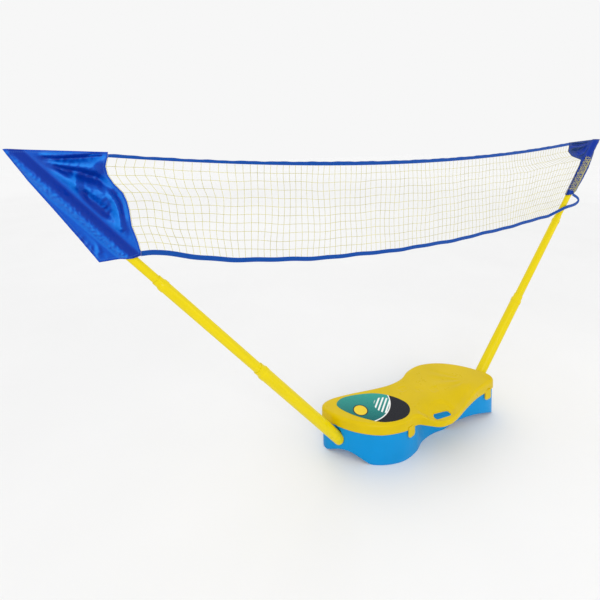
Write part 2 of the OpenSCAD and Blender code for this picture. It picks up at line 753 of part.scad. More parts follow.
// The inner end of a pocket's row: it follows the mesh, with the tapes' ends beside it
function knot(side, r) = let (t = r / mesh_rows, x = edge_x(side, t)) [x, mesh_z(x, t)];
function mesh_end(side, r) =
    let (q = min(max(r, 0), mesh_rows), i = min(floor(q), mesh_rows - 1))
    knot(side, i) + (knot(side, i + 1) - knot(side, i)) * (q - i);
function inner_end(side, r) =
    r < 0 ? mesh_end(side, 0) + [side * move_gap, -bottom_tape_w - move_gap]
        : r > mesh_rows ? [edge_x(side, 1) + side * move_gap, top_z(edge_x(side, 1)) + top_tape_w]
        : let (here = mesh_end(side, r),
            below = r > 0 ? here - mesh_end(side, r - 0.5) : mesh_end(side, r + 0.5) - here,
            above = r < mesh_rows ? mesh_end(side, r + 0.5) - here : below,
            t = unit(unit(below) + unit(above)), spread = 1 / max(0.6, t * unit(below)))
            here + side * (string_d / 2 + 4 * move_gap) * spread * [t[1], -t[0]];
function outer_end(side, rows, r) =
    let (t = (r - rows[0]) / (rows[len(rows) - 1] - rows[0]),
        p = side < 0 ? left_outside : right_outside, q = t * (len(p) - 1),
        i = min(floor(q), len(p) - 2), off = p[i] + (p[i + 1] - p[i]) * (q - i),
        foot = side < 0 ? left_foot_at : right_foot_at, s = foot + t * (tip_at - foot))
    [side * (pivot_x + s * cos(rake) + off * sin(rake)), pivot_z + s * sin(rake) - off * cos(rake)];
// Distance of a point from the pole's line, positive outside it
function from_pole(side, p) =
    (side * p[0] - pivot_x) * sin(rake) - (p[1] - pivot_z) * cos(rake);

// Distances along a row of w mm from its outer end, gathered where the tube passes at m
function row_stops(w, m) =
    let (c = min(max(m, 12), w - 12), a = min(bulge_reach, 0.8 * c, 0.8 * (w - c)), rest = w - c - a)
    [0, (c - a) / 2, c - a, c - a / 2, c, c + a / 2, c + a, c + a + 0.2 * rest,
        c + a + 0.4 * rest, c + a + 0.6 * rest, c + a + 0.8 * rest, w];

function pocket_point(side, p, v, face) =
    let (d = abs(from_pole(side, p)), bell = d < bulge_reach ? (1 + cos(180 * d / bulge_reach)) / 2 : 0,
        near = max(0, 1 - d / 45),
        y_mid = net_y(p[0]) + (-side * pivot_y - net_y(p[0])) * smooth(near * 1.5),
        out = [tip_x - side * p[0], tip_z - p[1]],
        phi = atan2(out[1], max(out[0], 1)), far = norm(out),
        fold = fold_depth * sin(phi * 18 + 40) * min(1, far / 90) * 4 * v * (1 - v)
            * (1 - smooth(near * 2)))
    [p[0], y_mid + fold + face * (pocket_edge + (pocket_bulge - pocket_edge) * bell), p[1]];

module pocket(side) {
    rows = side < 0 ? left_rows : right_rows;
    m = len(rows);
    n = 12;
    function row(r, face) =
        let (o = outer_end(side, rows, r), e = inner_end(side, r), w = norm(e - o),
            do = from_pole(side, o), de = from_pole(side, e),
            stops = row_stops(w, w * do / max(do - de, 1)),
            pts = [for (k = stops) pocket_point(side, o + (e - o) * k / w, k / w, face)])
        side < 0 ? pts : [for (i = [n - 1:-1:0]) pts[i]];
    points = [for (face = [-1, 1]) for (r = rows) each row(r, face)];
    half = m * n;
    function quad(a, b, c, d) = [[a, b, c], [a, c, d]];
    front = [for (j = [0:m - 2]) for (i = [0:n - 2]) let (a = j * n + i)
        each quad(a, a + n, a + n + 1, a + 1)];
    back = [for (j = [0:m - 2]) for (i = [0:n - 2]) let (a = half + j * n + i)
        each quad(a, a + 1, a + n + 1, a + n)];
    low = [for (i = [0:n - 2]) each quad(i, i + 1, i + 1 + half, i + half)];
    high = [for (i = [0:n - 2]) let (a = (m - 1) * n + i)
        each quad(a, a + half, a + 1 + half, a + 1)];
    start = [for (j = [0:m - 2]) let (a = j * n) each quad(a, a + half, a + n + half, a + n)];
    finish = [for (j = [0:m - 2]) let (a = j * n + n - 1)
        each quad(a, a + n, a + n + half, a + half)];
    color(cloth_blue)
    difference() {
        polyhedron(points, concat(front, back, low, high, start, finish), convexity = 10);
        on_side(side < 0 ? "left" : "right")
            up_pole(top_start)
                cylinder(d = top_d + 2 * move_gap, h = top_len + cap_crown + 1);
    }
}

// From the case's middle to the middle of the set's bounding box
y_shift = -(hinge_y + hinge_r + min([for (p = grip_points) p[1]])) / 2;
module placed() {
    translate([0, y_shift, 0])
        children();
}

placed() tray();
placed() lid();
placed() label();
placed() hinge_pin(hinge_xs[0]);  // hinge_pin_left
placed() hinge_pin(hinge_xs[1]);  // hinge_pin_right
placed() on_side("left") lower_tube();  // left_lower_tube
placed()  // left_lower_collar
    on_side("left") collar(lower_len, lower_d, middle_d);
placed()  // left_middle_bush
    on_side("left") bush(middle_start + bush_lift, middle_d, lower_bore);
placed()  // left_middle_tube
    on_side("left") tube(middle_start, middle_d, middle_len);
placed()  // left_upper_collar
    on_side("left") collar(middle_end, middle_d, top_d);
placed()  // left_top_bush
    on_side("left") bush(top_start + bush_lift, top_d, middle_bore);
placed() on_side("left") tube(top_start, top_d, top_len);  // left_top_tube
placed() on_side("left") tip_cap();  // left_tip_cap
placed() on_side("left") pivot_screw();  // left_pivot_screw
placed() on_side("right") lower_tube();  // right_lower_tube
placed()  // right_lower_collar
    on_side("right") collar(lower_len, lower_d, middle_d);
placed()  // right_middle_bush
    on_side("right") bush(middle_start + bush_lift, middle_d, lower_bore);
placed()  // right_middle_tube
    on_side("right") tube(middle_start, middle_d, middle_len);
placed()  // right_upper_collar
    on_side("right") collar(middle_end, middle_d, top_d);
placed()  // right_top_bush
    on_side("right") bush(top_start + bush_lift, top_d, middle_bore);
placed() on_side("right") tube(top_start, top_d, top_len);  // right_top_tube
placed() on_side("right") tip_cap();  // right_tip_cap
placed() on_side("right") pivot_screw();  // right_pivot_screw
placed() net();
placed() top_tape();
placed() bottom_tape();
placed() pocket(-1);  // left_pocket
placed() pocket(1);  // right_pocket
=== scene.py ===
"""Dresses a portable net set: lidded case, telescopic poles, net, tapes and end pockets."""

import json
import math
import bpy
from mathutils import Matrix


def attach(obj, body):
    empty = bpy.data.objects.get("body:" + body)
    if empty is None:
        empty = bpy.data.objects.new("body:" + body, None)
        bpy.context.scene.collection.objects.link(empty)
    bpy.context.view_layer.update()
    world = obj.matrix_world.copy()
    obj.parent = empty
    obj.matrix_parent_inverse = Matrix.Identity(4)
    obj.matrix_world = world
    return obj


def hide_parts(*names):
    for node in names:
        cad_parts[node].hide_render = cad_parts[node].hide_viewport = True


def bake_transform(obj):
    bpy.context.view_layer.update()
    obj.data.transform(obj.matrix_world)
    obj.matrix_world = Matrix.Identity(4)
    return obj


bl_info = {
    "name": "Net set",
    "version": (1, 0, 0),
    "blender": (4, 5, 0),
    "location": "View3D > Sidebar > Net set",
    "description": "Builds the looks of a portable net set round its packed frame",
    "category": "Add Mesh",
}

import bmesh
import bpy
import numpy as np
from bpy.props import FloatProperty, FloatVectorProperty, IntProperty, PointerProperty
from bpy.types import Operator, Panel, PropertyGroup
from mathutils import Vector, noise

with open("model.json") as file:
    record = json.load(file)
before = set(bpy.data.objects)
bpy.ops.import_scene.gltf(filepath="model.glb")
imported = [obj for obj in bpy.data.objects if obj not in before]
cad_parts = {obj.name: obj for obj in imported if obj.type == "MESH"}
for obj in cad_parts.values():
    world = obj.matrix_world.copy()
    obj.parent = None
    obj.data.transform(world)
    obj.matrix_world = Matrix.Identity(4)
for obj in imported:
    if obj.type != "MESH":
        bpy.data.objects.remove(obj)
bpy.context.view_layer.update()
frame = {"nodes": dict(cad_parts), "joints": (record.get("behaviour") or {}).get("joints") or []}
PIVOT = next(joint["pos_m"] for joint in frame["joints"] if joint["name"] == "left_pole_hinge")
SIDES = ((-1, "left"), (1, "right"))

# ---- Sizes shared with the frame, in millimetres -------------------------------------------
RAKE = math.radians(47.7)
PIVOT_X, PIVOT_Y, PIVOT_Z = 306.0, 10.0, 64.0
Y_SHIFT = PIVOT[1] - PIVOT_Y / 1000
# From a pole's pivot to its pocket's point, along the pole
TIP_AT = 1288.5
TIP_X = PIVOT_X + TIP_AT * math.cos(RAKE)
TIP_Z = PIVOT_Z + TIP_AT * math.sin(RAKE)
NET_DEPTH, SAG = 365.0, 65.0
TOP_TAPE, BOTTOM_TAPE = 14.0, 12.0
CASE_L, CASE_W, CASE_H = 656.0, 206.0, 130.0
# The top tape sags up to this share of the half span, where this share of the sag is left
SAG_END, SAG_LEFT = 0.82, 0.22
# Over these shares of the mesh's width its upright strings follow a pocket's edge
EDGE_REACH = {-1: 0.2, 1: 0.3}


def unit(v):
    """A vector's way, at length 1."""
    return v / np.linalg.norm(v)


def smooth(t):
    """An even rise from 0 to 1 that starts and ends gently."""
    t = np.clip(t, 0, 1)
    return t * t * (3 - 2 * t)


def smooth_curve(points, steps, closed=False):
    """A smooth line through the points, as a list; a closed one ends next to its start."""
    p = np.array(points, float)
    p = np.concatenate([p[-1:], p, p[:2]] if closed else [p[:1], p, p[-1:]])
    line = []
    for a, b, c, d in zip(p, p[1:], p[2:], p[3:]):
        for t in np.arange(steps) / steps:
            line.append(0.5 * (2 * b + (c - a) * t + (2 * a - 5 * b + 4 * c - d) * t * t
                               + (3 * b - a - 3 * c + d) * t**3))
    return line if closed else line + [p[-1]]


def pole_x(z):
    return PIVOT_X + (z - PIVOT_Z) / math.tan(RAKE)


def by_pole(along, below):
    """x and z of a point by its distances along the right pole and below its middle line."""
    return np.array([PIVOT_X + along * math.cos(RAKE) + below * math.sin(RAKE),
                     PIVOT_Z + along * math.sin(RAKE) - below * math.cos(RAKE)])


def net_y(x):
    return -x * PIVOT_Y / TIP_X


# Stops of the net's lower edge: shares of the half span and of the net's depth
BOTTOM_LINE = np.array([
    (-0.84, 0.727), (-0.77, 0.733), (-0.735, 0.740), (-0.627, 0.828), (-0.49, 0.908),
    (-0.332, 0.967), (-0.12, 1.010), (0.122, 1.022), (0.379, 0.989), (0.683, 0.915),
    (0.836, 0.853), (0.90, 0.829),
])


def bottom_z(x):
    """Height of the net's lower edge: a smooth line through the listed stops."""
    p, u = BOTTOM_LINE, x / TIP_X
    i = int(np.clip(np.searchsorted(p[:, 0], u) - 1, 0, len(p) - 2))
    a, b, c, d = p[max(i - 1, 0)], p[i], p[i + 1], p[min(i + 2, len(p) - 1)]
    w = c[0] - b[0]
    t = (u - b[0]) / w
    m0, m1 = (c[1] - a[1]) / (c[0] - a[0]), (d[1] - b[1]) / (d[0] - b[0])
    depth = ((2 * t**3 - 3 * t**2 + 1) * b[1] + (t**3 - 2 * t**2 + t) * w * m0
             + (3 * t**2 - 2 * t**3) * c[1] + (t**3 - t**2) * w * m1)
    return TIP_Z - NET_DEPTH * depth


def top_z(x):
    """Height of the top tape's lower edge: a sag between the pockets, then straight."""
    u, tip = abs(x) / TIP_X, TIP_Z - TOP_TAPE
    edge = tip - SAG * SAG_LEFT
    if u <= SAG_END:
        return edge - SAG * (1 - SAG_LEFT) * (1 - (u / SAG_END) ** 2)
    return edge + (tip - edge) * (u - SAG_END) / (1 - SAG_END)


# How far inside the pole's line the mesh ends, at even steps up each pocket's edge
INSIDE = {-1: [36, 52, 66, 79, 97, 115, 131, 143, 144, 151, 167, 192],
          1: [17, 17, 17.5, 21.5, 21.5, 24, 30, 32, 42, 143, 198, 215]}
# The height of that edge's foot
FOOT_Z = {-1: TIP_Z - 0.735 * NET_DEPTH, 1: TIP_Z - 0.90 * NET_DEPTH}


def edge_x(side, t):
    """Where the mesh ends on one side, at height share t."""
    off = float(np.interp(t, np.linspace(0, 1, 12), INSIDE[side]))
    return side * (pole_x(FOOT_Z[side] + t * (TIP_Z - TOP_TAPE - FOOT_Z[side])) - off)


def mesh_x(u, t):
    """An upright string's place: level in the middle, following the pockets' edges near them."""
    left, right = edge_x(-1, 0.5), edge_x(1, 0.5)
    return (left + (right - left) * u
            + (edge_x(-1, t) - left) * (1 - smooth(u / EDGE_REACH[-1]))
            + (edge_x(1, t) - right) * (1 - smooth((1 - u) / EDGE_REACH[1])))


def mesh_z(x, t):
    return bottom_z(x) + t * (top_z(x) - bottom_z(x))


# ---- Small mesh and material helpers -------------------------------------------------------
def add_object(name, data):
    obj = bpy.data.objects.new(name, data)
    bpy.context.scene.collection.objects.link(obj)
    return obj


def in_frame(points):
    """Points in millimetres as a list of the frame's own points, in metres."""
    return (np.asarray(points, float) / 1000 + np.array([0, Y_SHIFT, 0])).tolist()


def mesh_object(name, points, faces, uvs=None):
    """A smooth mesh object at the origin, its faces outwards, from points in millimetres."""
    data = bpy.data.meshes.new(name)
    data.from_pydata(in_frame(points), [], [list(map(int, f)) for f in faces])
    data.polygons.foreach_set("use_smooth", [True] * len(data.polygons))
    if uvs is not None:
        index = np.zeros(len(data.loops), int)
        data.loops.foreach_get("vertex_index", index)
        layer = data.uv_layers.new(name="UVMap")
        layer.data.foreach_set("uv", np.asarray(uvs, float)[index].ravel())
    data.update()
    bm = bmesh.new()
    bm.from_mesh(data)
    bmesh.ops.recalc_face_normals(bm, faces=bm.faces)
    bm.to_mesh(data)
    bm.free()
    return add_object(name, data)


def plain_mesh(obj):
    """The mesh that an object's modifiers make, free of them."""
    bpy.context.view_layer.update()
    depsgraph = bpy.context.evaluated_depsgraph_get()
    return bpy.data.meshes.new_from_object(obj.evaluated_get(depsgraph))


def grid_faces(rows, cols, start=0, flip=False, wrap=False):
    """Quads of a grid of rows by cols points, optionally joined round in each row."""
    faces = []
    for j in range(rows - 1):
        for i in range(cols if wrap else cols - 1):
            a, b = start + j * cols + i, start + j * cols + (i + 1) % cols
            quad = (a, b, b + cols, a + cols)
            faces.append(quad[::-1] if flip else quad)
    return faces


def end_faces(count, rings):
    """The two faces that close a row of rings with count points each."""
    last = (rings - 1) * count
    return [tuple(range(count))[::-1], tuple(range(last, last + count))]


def bend_with_pole(piece):
    """Bakes a half of the net's placement into its mesh; it does not follow its pole."""
    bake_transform(piece)


class Finish:
    """A material under construction: its nodes, its links and its shader."""

    def __init__(self, name, colour, roughness, **sockets):
        self.material = bpy.data.materials.new(name)
        self.material.use_nodes = True
        self.material.diffuse_color = (*colour, 1)
        self.nodes = self.material.node_tree.nodes
        self.links = self.material.node_tree.links
        self.shader = self.nodes["Principled BSDF"]
        self.coords = self.nodes.new("ShaderNodeTexCoord")
        self.feed(Base_Color=(*colour, 1), Roughness=roughness, **sockets)

    def put(self, value, socket):
        """Links another node's output to a socket, or sets a number or a colour on it."""
        if hasattr(value, "node"):
            self.links.new(value, socket)
        else:
            socket.default_value = value

    def feed(self, **sockets):
        """Puts each value on the shader's socket of that name."""
        for key, value in sockets.items():
            self.put(value, self.shader.inputs[key.replace("_", " ")])

    def node(self, kind, **values):
        """A new node with its settings, and with numbers or outputs on its inputs."""
        node = self.nodes.new("ShaderNode" + kind)
        for key, value in values.items():
            if hasattr(node, key):
                setattr(node, key, value)
            else:
                self.put(value, node.inputs[key.replace("_", " ")])
        return node

    def space(self, source="Object", **moved):
        """The object's coordinates, its UV map or another vector, scaled, turned or moved."""
        vector = self.coords.outputs[source] if isinstance(source, str) else source
        return self.node("Mapping", Vector=vector, **moved).outputs["Vector"]

    def axes(self, vector):
        """The x and y of a vector."""
        return self.node("SeparateXYZ", Vector=vector).outputs[:2]

    def bands(self, vector, scale, direction="X", distortion=0.0):
        return self.node("TexWave", Vector=vector, wave_type="BANDS", Scale=scale,
                         bands_direction=direction, Distortion=distortion).outputs["Fac"]

    def noise(self, vector, scale, detail, roughness=0.55):
        return self.node("TexNoise", Vector=vector, Scale=scale, Detail=detail,
                         Roughness=roughness).outputs["Fac"]

    def spread(self, value, low, high, out_low=0.0, out_high=1.0):
        """A value between low and high, stretched over another range and held in it."""
        return self.node("MapRange", Value=value, From_Min=low, From_Max=high,
                         To_Min=out_low, To_Max=out_high).outputs["Result"]

    def cloud(self, vector, scale, detail, low=0.0, high=1.0, roughness=0.55):
        """Noise whose usual values fill the range from low to high."""
        return self.spread(self.noise(vector, scale, detail, roughness), 0.3, 0.7, low, high)

    def mix(self, share, first, second):
        """A colour between two others; each may be a colour or another node's output."""
        node = self.node("Mix", data_type="RGBA")
        for value, index in ((share, 0), (first, 6), (second, 7)):
            self.put((*value, 1) if isinstance(value, tuple) else value, node.inputs[index])
        return node.outputs[2]

    def layer(self, where, strength, under, over):
        """A colour laid over another one where a value says so, at a strength."""
        return self.mix(self.math("MULTIPLY", where, strength), under, over)

    def math(self, operation, first, second=0.0):
        node = self.node("Math", operation=operation)
        self.put(first, node.inputs[0])
        self.put(second, node.inputs[1])
        return node.outputs[0]

    def off(self, value, centre):
        """How far a value is from a centre."""
        return self.math("ABSOLUTE", self.math("SUBTRACT", value, centre))

    def bump(self, height, strength, distance):
        """Adds a relief on top of those that the material has."""
        node = self.node("Bump", Height=height, Strength=strength, Distance=distance)
        for last in self.shader.inputs["Normal"].links:
            self.links.new(last.from_socket, node.inputs["Normal"])
        self.feed(Normal=node.outputs["Normal"])


def shade(colour, factor):
    return tuple(min(c * factor, 1.0) for c in colour)


def dress(obj, finish):
    obj.data.materials.clear()
    obj.data.materials.append(finish.material)


def dress_node(name, finish):
    for slot in frame["nodes"][name].material_slots:
        slot.material = finish.material


def moulded_plastic(name, colour, roughness):
    """Gloss plastic from a mould: faint clouding, uneven gloss, fine skin and rubbed marks."""
    f = Finish(name, colour, roughness, Specular_IOR_Level=0.14)
    place = f.space()
    tint = f.mix(f.cloud(place, 9.0, 4), shade(colour, 0.94), shade(colour, 1.04))
    scuff = f.spread(f.noise(f.space(Scale=(1, 1, 4)), 42.0, 6, 0.7), 0.66, 0.8)
    uneven = f.cloud(place, 35.0, 5, roughness - 0.05, roughness + 0.1, 0.65)
    f.feed(Base_Color=f.layer(scuff, 0.1, tint, shade(colour, 1.4)),
           Roughness=f.math("ADD", uneven, f.math("MULTIPLY", scuff, 0.2)))
    f.bump(f.noise(place, 900.0, 2), 0.06, 0.0003)
    f.bump(f.noise(place, 14.0, 2), 0.12, 0.0008)
    return f


def tube_plastic(name, colour):
    """Drawn tube: lengthwise streaks, even gloss and small rub marks."""
    f = Finish(name, colour, 0.3, Specular_IOR_Level=0.18)
    place = f.space()
    streak = f.noise(f.space(Scale=(3, 220, 3)), 3.0, 4)
    tint = f.mix(f.spread(streak, 0.3, 0.7), shade(colour, 0.94), shade(colour, 1.04))
    rub = f.spread(f.noise(place, 85.0, 7, 0.7), 0.64, 0.8)
    f.feed(Base_Color=f.layer(rub, 0.18, tint, shade(colour, 0.7)),
           Roughness=f.cloud(place, 30.0, 5, 0.22, 0.36, 0.6))
    f.bump(streak, 0.06, 0.0005)
    return f


def plated_steel():
    """Plated wire pin: gloss that varies along it over a fine skin."""
    f = Finish("plated_steel", (0.66, 0.67, 0.69), 0.28, Metallic=1.0)
    f.feed(Roughness=f.cloud(f.space(Scale=(1, 40, 1)), 60.0, 4, 0.2, 0.38))
    f.bump(f.noise(f.space(), 500.0, 2), 0.05, 0.0002)
    return f


# Half the way round a tape and how far inside a hem its stitches run, in metres
TAPE_V, HEM_V = 0.013, 0.0055
STITCH, STITCHES_PER_METRE = (0.05, 0.16, 0.55), 300.0


def satin_cloth(name, colour, folds=False):
    """Woven satin on the piece's own UV map, in metres: threads, slubs, sheen and stitches.

    With folds, the pocket's painted-light attribute paints light and shade into the cloth's
    colour:
    painted fold shadow, painted bright satin sheen, and painted navy shade for the pocket in
    shade;
    its "hem" attribute says how far inside the edge a point is. A tape's stitches follow its UV
    map instead: two rows on each side."""
    f = Finish(name, colour, 0.38, Specular_IOR_Level=0.16)
    place = f.space("UV")
    threads = f.math("ADD", f.math("MULTIPLY", f.bands(place, 700.0, "X"), 0.6),
                     f.math("MULTIPLY", f.bands(place, 420.0, "Y"), 0.4))
    slub = f.noise(f.space("UV", Scale=(6, 60, 1)), 12.0, 5, 0.6)
    tint = f.mix(f.spread(slub, 0.3, 0.7), shade(colour, 0.88), shade(colour, 1.1))
    if folds:
        # Painted light: this attribute tints the cloth with painted fold shadow, a painted satin
        # highlight and painted navy shade
        painted_light = f.node("Attribute", attribute_name="painted_light").outputs["Fac"]
        red, green, blue = colour
        painted_fold_shade = (red * 0.5, green * 0.33, blue * 0.6)
        painted_sheen = (red + 0.01, min(1, green * 2.6), min(1, blue * 1.5))
        painted_navy_shade = (red, green * 0.3, blue * 0.22)
        for low, high, tone in ((0.5, 0.0, painted_fold_shade), (0.5, 1.0, painted_sheen), (0.0, -0.4, painted_navy_shade)):
            tint = f.mix(f.spread(painted_light, low, high), tint, tone)
        along, inside = f.axes(f.node("Attribute", attribute_name="hem").outputs["Vector"])
        across = f.off(inside, HEM_V)
    else:
        along, around = f.axes(place)
        across = f.off(f.off(f.off(around, TAPE_V), TAPE_V / 2), TAPE_V / 5)
    dash = f.math("FRACT", f.math("MULTIPLY", along, STITCHES_PER_METRE))
    stitch = f.math("MULTIPLY", f.spread(across, 0.0006, 0.0003), f.spread(dash, 0.3, 0.36))
    woven = f.layer(threads, 0.2, tint, shade(colour, 0.6))
    f.feed(Base_Color=f.layer(stitch, 0.7, woven, STITCH),
           Roughness=f.spread(slub, 0.3, 0.7, 0.28, 0.42))
    f.bump(stitch, 0.4, 0.0004)
    f.bump(threads, 0.12, 0.0002)
    f.bump(f.noise(f.space("UV"), 45.0, 4), 0.3, 0.0015)
    return f


def net_twine(colour):
    """Thin twisted twine: the lay shows as fine slanting bands, with faded stretches."""
    f = Finish("net_twine", colour, 0.6, Sheen_Weight=0.2)
    lay = f.bands(f.space(), 260.0, "DIAGONAL", 1.5)
    faded = f.spread(f.noise(f.space(), 14.0, 4), 0.35, 0.65)
    tint = f.mix(faded, shade(colour, 0.85), shade(colour, 1.15))
    f.feed(Base_Color=f.layer(lay, 0.3, tint, shade(colour, 0.6)))
    f.bump(lay, 0.3, 0.0003)
    return f


def printed_label():
    """A made-up label: sea-green with pale dots, slanted stripes, a sun and a dark foot."""
    f = Finish("label_film", (0.01, 0.22, 0.20), 0.3, Specular_IOR_Level=0.15)
    place = f.space(Location=(0.17, 0.004 - Y_SHIFT, 0))
    x, y = f.axes(place)

    def disc(cx, cy, radius, soft=0.0006):
        dx, dy = f.math("SUBTRACT", x, cx), f.math("SUBTRACT", y, cy)
        far = f.math("SQRT", f.math("ADD", f.math("MULTIPLY", dx, dx),
                                    f.math("MULTIPLY", dy, dy)))
        return f.spread(far, radius + soft, radius - soft)

    colour = f.mix(f.spread(f.math("ADD", y, f.math("MULTIPLY", x, 0.6)), -0.07, 0.09),
                   (0.0, 0.13, 0.13), (0.03, 0.36, 0.30))
    # Pale dots on the far side
    dots = f.node("TexVoronoi", Vector=f.space(place, Rotation=(0, 0, 0.5)), Scale=110.0,
                  Randomness=0.0).outputs["Distance"]
    dotted = f.math("MULTIPLY", f.spread(dots, 0.34, 0.28), f.spread(y, 0.012, 0.03))
    colour = f.layer(dotted, 0.75, colour, (0.55, 0.75, 0.70))
    # White slanted stripes in a round patch in the middle
    stripes = f.spread(f.bands(f.space(place, Rotation=(0, 0, 0.9)), 26.0), 0.55, 0.6)
    patch = f.math("MULTIPLY", stripes, disc(0.035, -0.012, 0.036))
    colour = f.mix(patch, colour, (0.86, 0.88, 0.86))
    # A sun with a dark ring on the near left
    for radius, tone in ((0.025, (0.01, 0.02, 0.03)), (0.0215, (0.82, 0.60, 0.03))):
        colour = f.mix(disc(-0.052, 0.004, radius), colour, tone)
    # Dark foot with a white edge, following the label's near right side
    for radius, tone in ((0.109, (0.9, 0.9, 0.88)), (0.1125, (0.006, 0.007, 0.012))):
        colour = f.mix(f.math("SUBTRACT", 1.0, disc(-0.03, 0.055, radius)), colour, tone)
    f.feed(Base_Color=colour, Roughness=f.cloud(f.space(), 60.0, 4, 0.22, 0.36))
    f.bump(f.noise(f.space(), 30.0, 3), 0.1, 0.0006)
    return f


# ---- What a user may set -------------------------------------------------------------------
def colour_property(name, description, default):
    return FloatVectorProperty(name=name, description=description, subtype="COLOR", size=3,
                               min=0, max=1, default=default)


class NetSetCase(PropertyGroup):
    lid_colour: colour_property("Lid", "Colour of the case's lid", (0.67, 0.48, 0.0))
    tray_colour: colour_property("Tray", "Colour of the case's tray", (0.0, 0.27, 0.64))


class NetSetPoles(PropertyGroup):
    colour: colour_property("Poles", "Colour of the telescopic tubes", (0.76, 0.605, 0.0))


class NetSetNet(PropertyGroup):
    cloth_colour: colour_property("Cloth", "Colour of the pockets", (0.0, 0.082, 0.52))
    tape_colour: colour_property("Tapes", "Colour of the two tapes", (0.0, 0.062, 0.34))
    twine_colour: colour_property("Twine", "Colour of the mesh strings", (0.62, 0.57, 0.20))
    columns: IntProperty(name="Columns", description="Upright strings in the mesh",
                         default=95, min=20, max=140)
    rows: IntProperty(name="Rows", description="Level strings in the mesh",
                      default=10, min=4, max=20)
    twine_radius: FloatProperty(name="Twine radius", description="Half a string's thickness",
                                default=0.00065, min=0.0003, max=0.002, unit="LENGTH")
    knot_radius: FloatProperty(name="Knot radius", description="Half a knot's width",
                               default=0.0012, min=0.0005, max=0.003, unit="LENGTH")


class NetSetStage(PropertyGroup):
    floor_colour: colour_property("Floor", "Colour of the floor", (0.875, 0.875, 0.875))


# ---- Frame pieces that keep their shape ----------------------------------------------------
FINISH = {}


class NETSET_OT_finishes(Operator):
    """Makes the finishes and puts them on the frame's own pieces"""

    bl_idname = "netset.finishes"
    bl_label = "Finishes"

    def execute(self, context):
        case, poles = context.scene.netset_case, context.scene.netset_poles
        net = context.scene.netset_net
        FINISH["lid"] = moulded_plastic("lid_plastic", case.lid_colour[:], 0.3)
        FINISH["tray"] = moulded_plastic("tray_plastic", case.tray_colour[:], 0.32)
        FINISH["pole"] = tube_plastic("pole_plastic", poles.colour[:])
        FINISH["steel"] = plated_steel()
        FINISH["cloth"] = satin_cloth("satin_cloth", net.cloth_colour[:], folds=True)
        FINISH["tape"] = satin_cloth("tape_cloth", net.tape_colour[:])
        FINISH["twine"] = net_twine(net.twine_colour[:])
        FINISH["label"] = printed_label()
        for name in frame["nodes"]:
            if "hinge_pin" in name:
                dress_node(name, FINISH["steel"])
            elif name in ("lid", "tray", "label"):
                dress_node(name, FINISH[name])
            elif name.startswith(("left_", "right_")) and not name.endswith("pocket"):
                dress_node(name, FINISH["pole"])
        return {"FINISHED"}


# ---- Case ----------------------------------------------------------------------------------
# Half of the case's outline, in shares of its half sizes; the other half is the same, turned
HALF_SHAPE = [
    (1.00, -0.58), (0.935, -0.13), (0.80, 0.39), (0.61, 0.81), (0.39, 1.00), (0.19, 0.91),
    (0.03, 0.68), (-0.16, 0.61), (-0.38, 0.69), (-0.62, 0.83), (-0.84, 0.91), (-0.965, 0.83),
]
# The lid's front edge along the grip, in place of the outline's stops there
GRIP_FRONT = [(-88, -100.5), (-62, -103), (-41, -118), (-9, -140), (23, -146), (63, -141.5),
              (141, -118.5), (213, -101), (272, -94)]
GRIP_STOPS = slice(17, 23)
TRAY_TOP, SKIRT_Z, FLOOR_Z, FLOOR_T = 106.0, 98.0, 28.0, 3.0
TRAY_INSET, LID_WALL = 3.5, 2.5
RIM_R, GRIP_RIM_R, GRIP_DROP = 9.0, 5.0, 16.0
# The grip's skin over its hollow, its front wall, and the hollow's end short of the case
GRIP_SKIN, GRIP_WALL, GRIP_GAP = 3.0, 3.4, 0.7
# Tools that cut the lid from below start under its skirt, at this height
BELOW = 90
HINGE_Y, HINGE_Z, HINGE_XS = 112.0, 96.0, (-262.4, 124.64)
KNUCKLE_R, PIN_BORE_R, BORE_HALF = 5.0, 2.05, 30
TAB_XS = (-93.8, 277.4)
POLE_R, POLE_LEAN, NOSE_SHIFT, POLE_ROOM = 17.5, 12.0, 7.0, 130.0
# The innermost rings stop this short of the case's middle line
CORE = 1.2
SLOT_AT, SLOT_L, SLOT_W, SLOT_TILT = (25.5, -115.5), 66.0, 20.0, math.radians(-6)
# The lid's relief. A dish along the grip: place and half width from the rim inwards, depth
DISH_AT, DISH_W, DISH_DEPTH = 24, 11, 2.2
# A hollow behind the finger slot: middle, half sizes and depth
HOLLOW_AT, HOLLOW_HALF, HOLLOW_DEPTH = (33, -108), (50, 34), 4.2
# Three shallow seats along the waist: x, y and depth of each, and their half sizes
SEATS, SEAT_HALF = ((-26, 19, 1.3), (24, -7, 0.7), (75, -31, 1.3)), (15, 11)
# Rays that fan out over the right lobe: middle, number in a quarter turn, ends and depth
RAYS_AT, RAYS, RAY_ENDS, RAY_DEPTH = (222, -46), 3.4, (22, 105), 1.5
# Half the lid's knuckle, and where the tray's ear beside it begins and ends
KNUCKLE_HALF, EAR_ENDS = 13, (13.4, 22.4)
# The pole housings in the tray: their ends along the case, half their width, the pivot's boss
HOUSING_ENDS, HOUSING_HALF, BOSS_R, PIVOT_BORE_R = (278.3, 330.0), 22.5, 9, 4.06
# How high the arches in the tray's foot rise, under the poles and in the long flanks
END_ARCH, FLANK_ARCH = 27.3, 25


def inset(p, by):
    """A closed line moved inwards, square to itself."""
    t = np.roll(p, -1, 0) - np.roll(p, 1, 0)
    t /= np.linalg.norm(t, axis=1)[:, None]
    return p + by * np.stack([-t[:, 1], t[:, 0]], 1)


CASE_STOPS = [(turn * a * CASE_L / 2, turn * b * CASE_W / 2)
              for turn in (1, -1) for a, b in HALF_SHAPE]
OUTLINE = np.array(smooth_curve(CASE_STOPS, 20, closed=True))
LID_STOPS = CASE_STOPS[:GRIP_STOPS.start] + GRIP_FRONT + CASE_STOPS[GRIP_STOPS.stop:]
LID_RIM = np.array(smooth_curve(LID_STOPS, 22, closed=True))


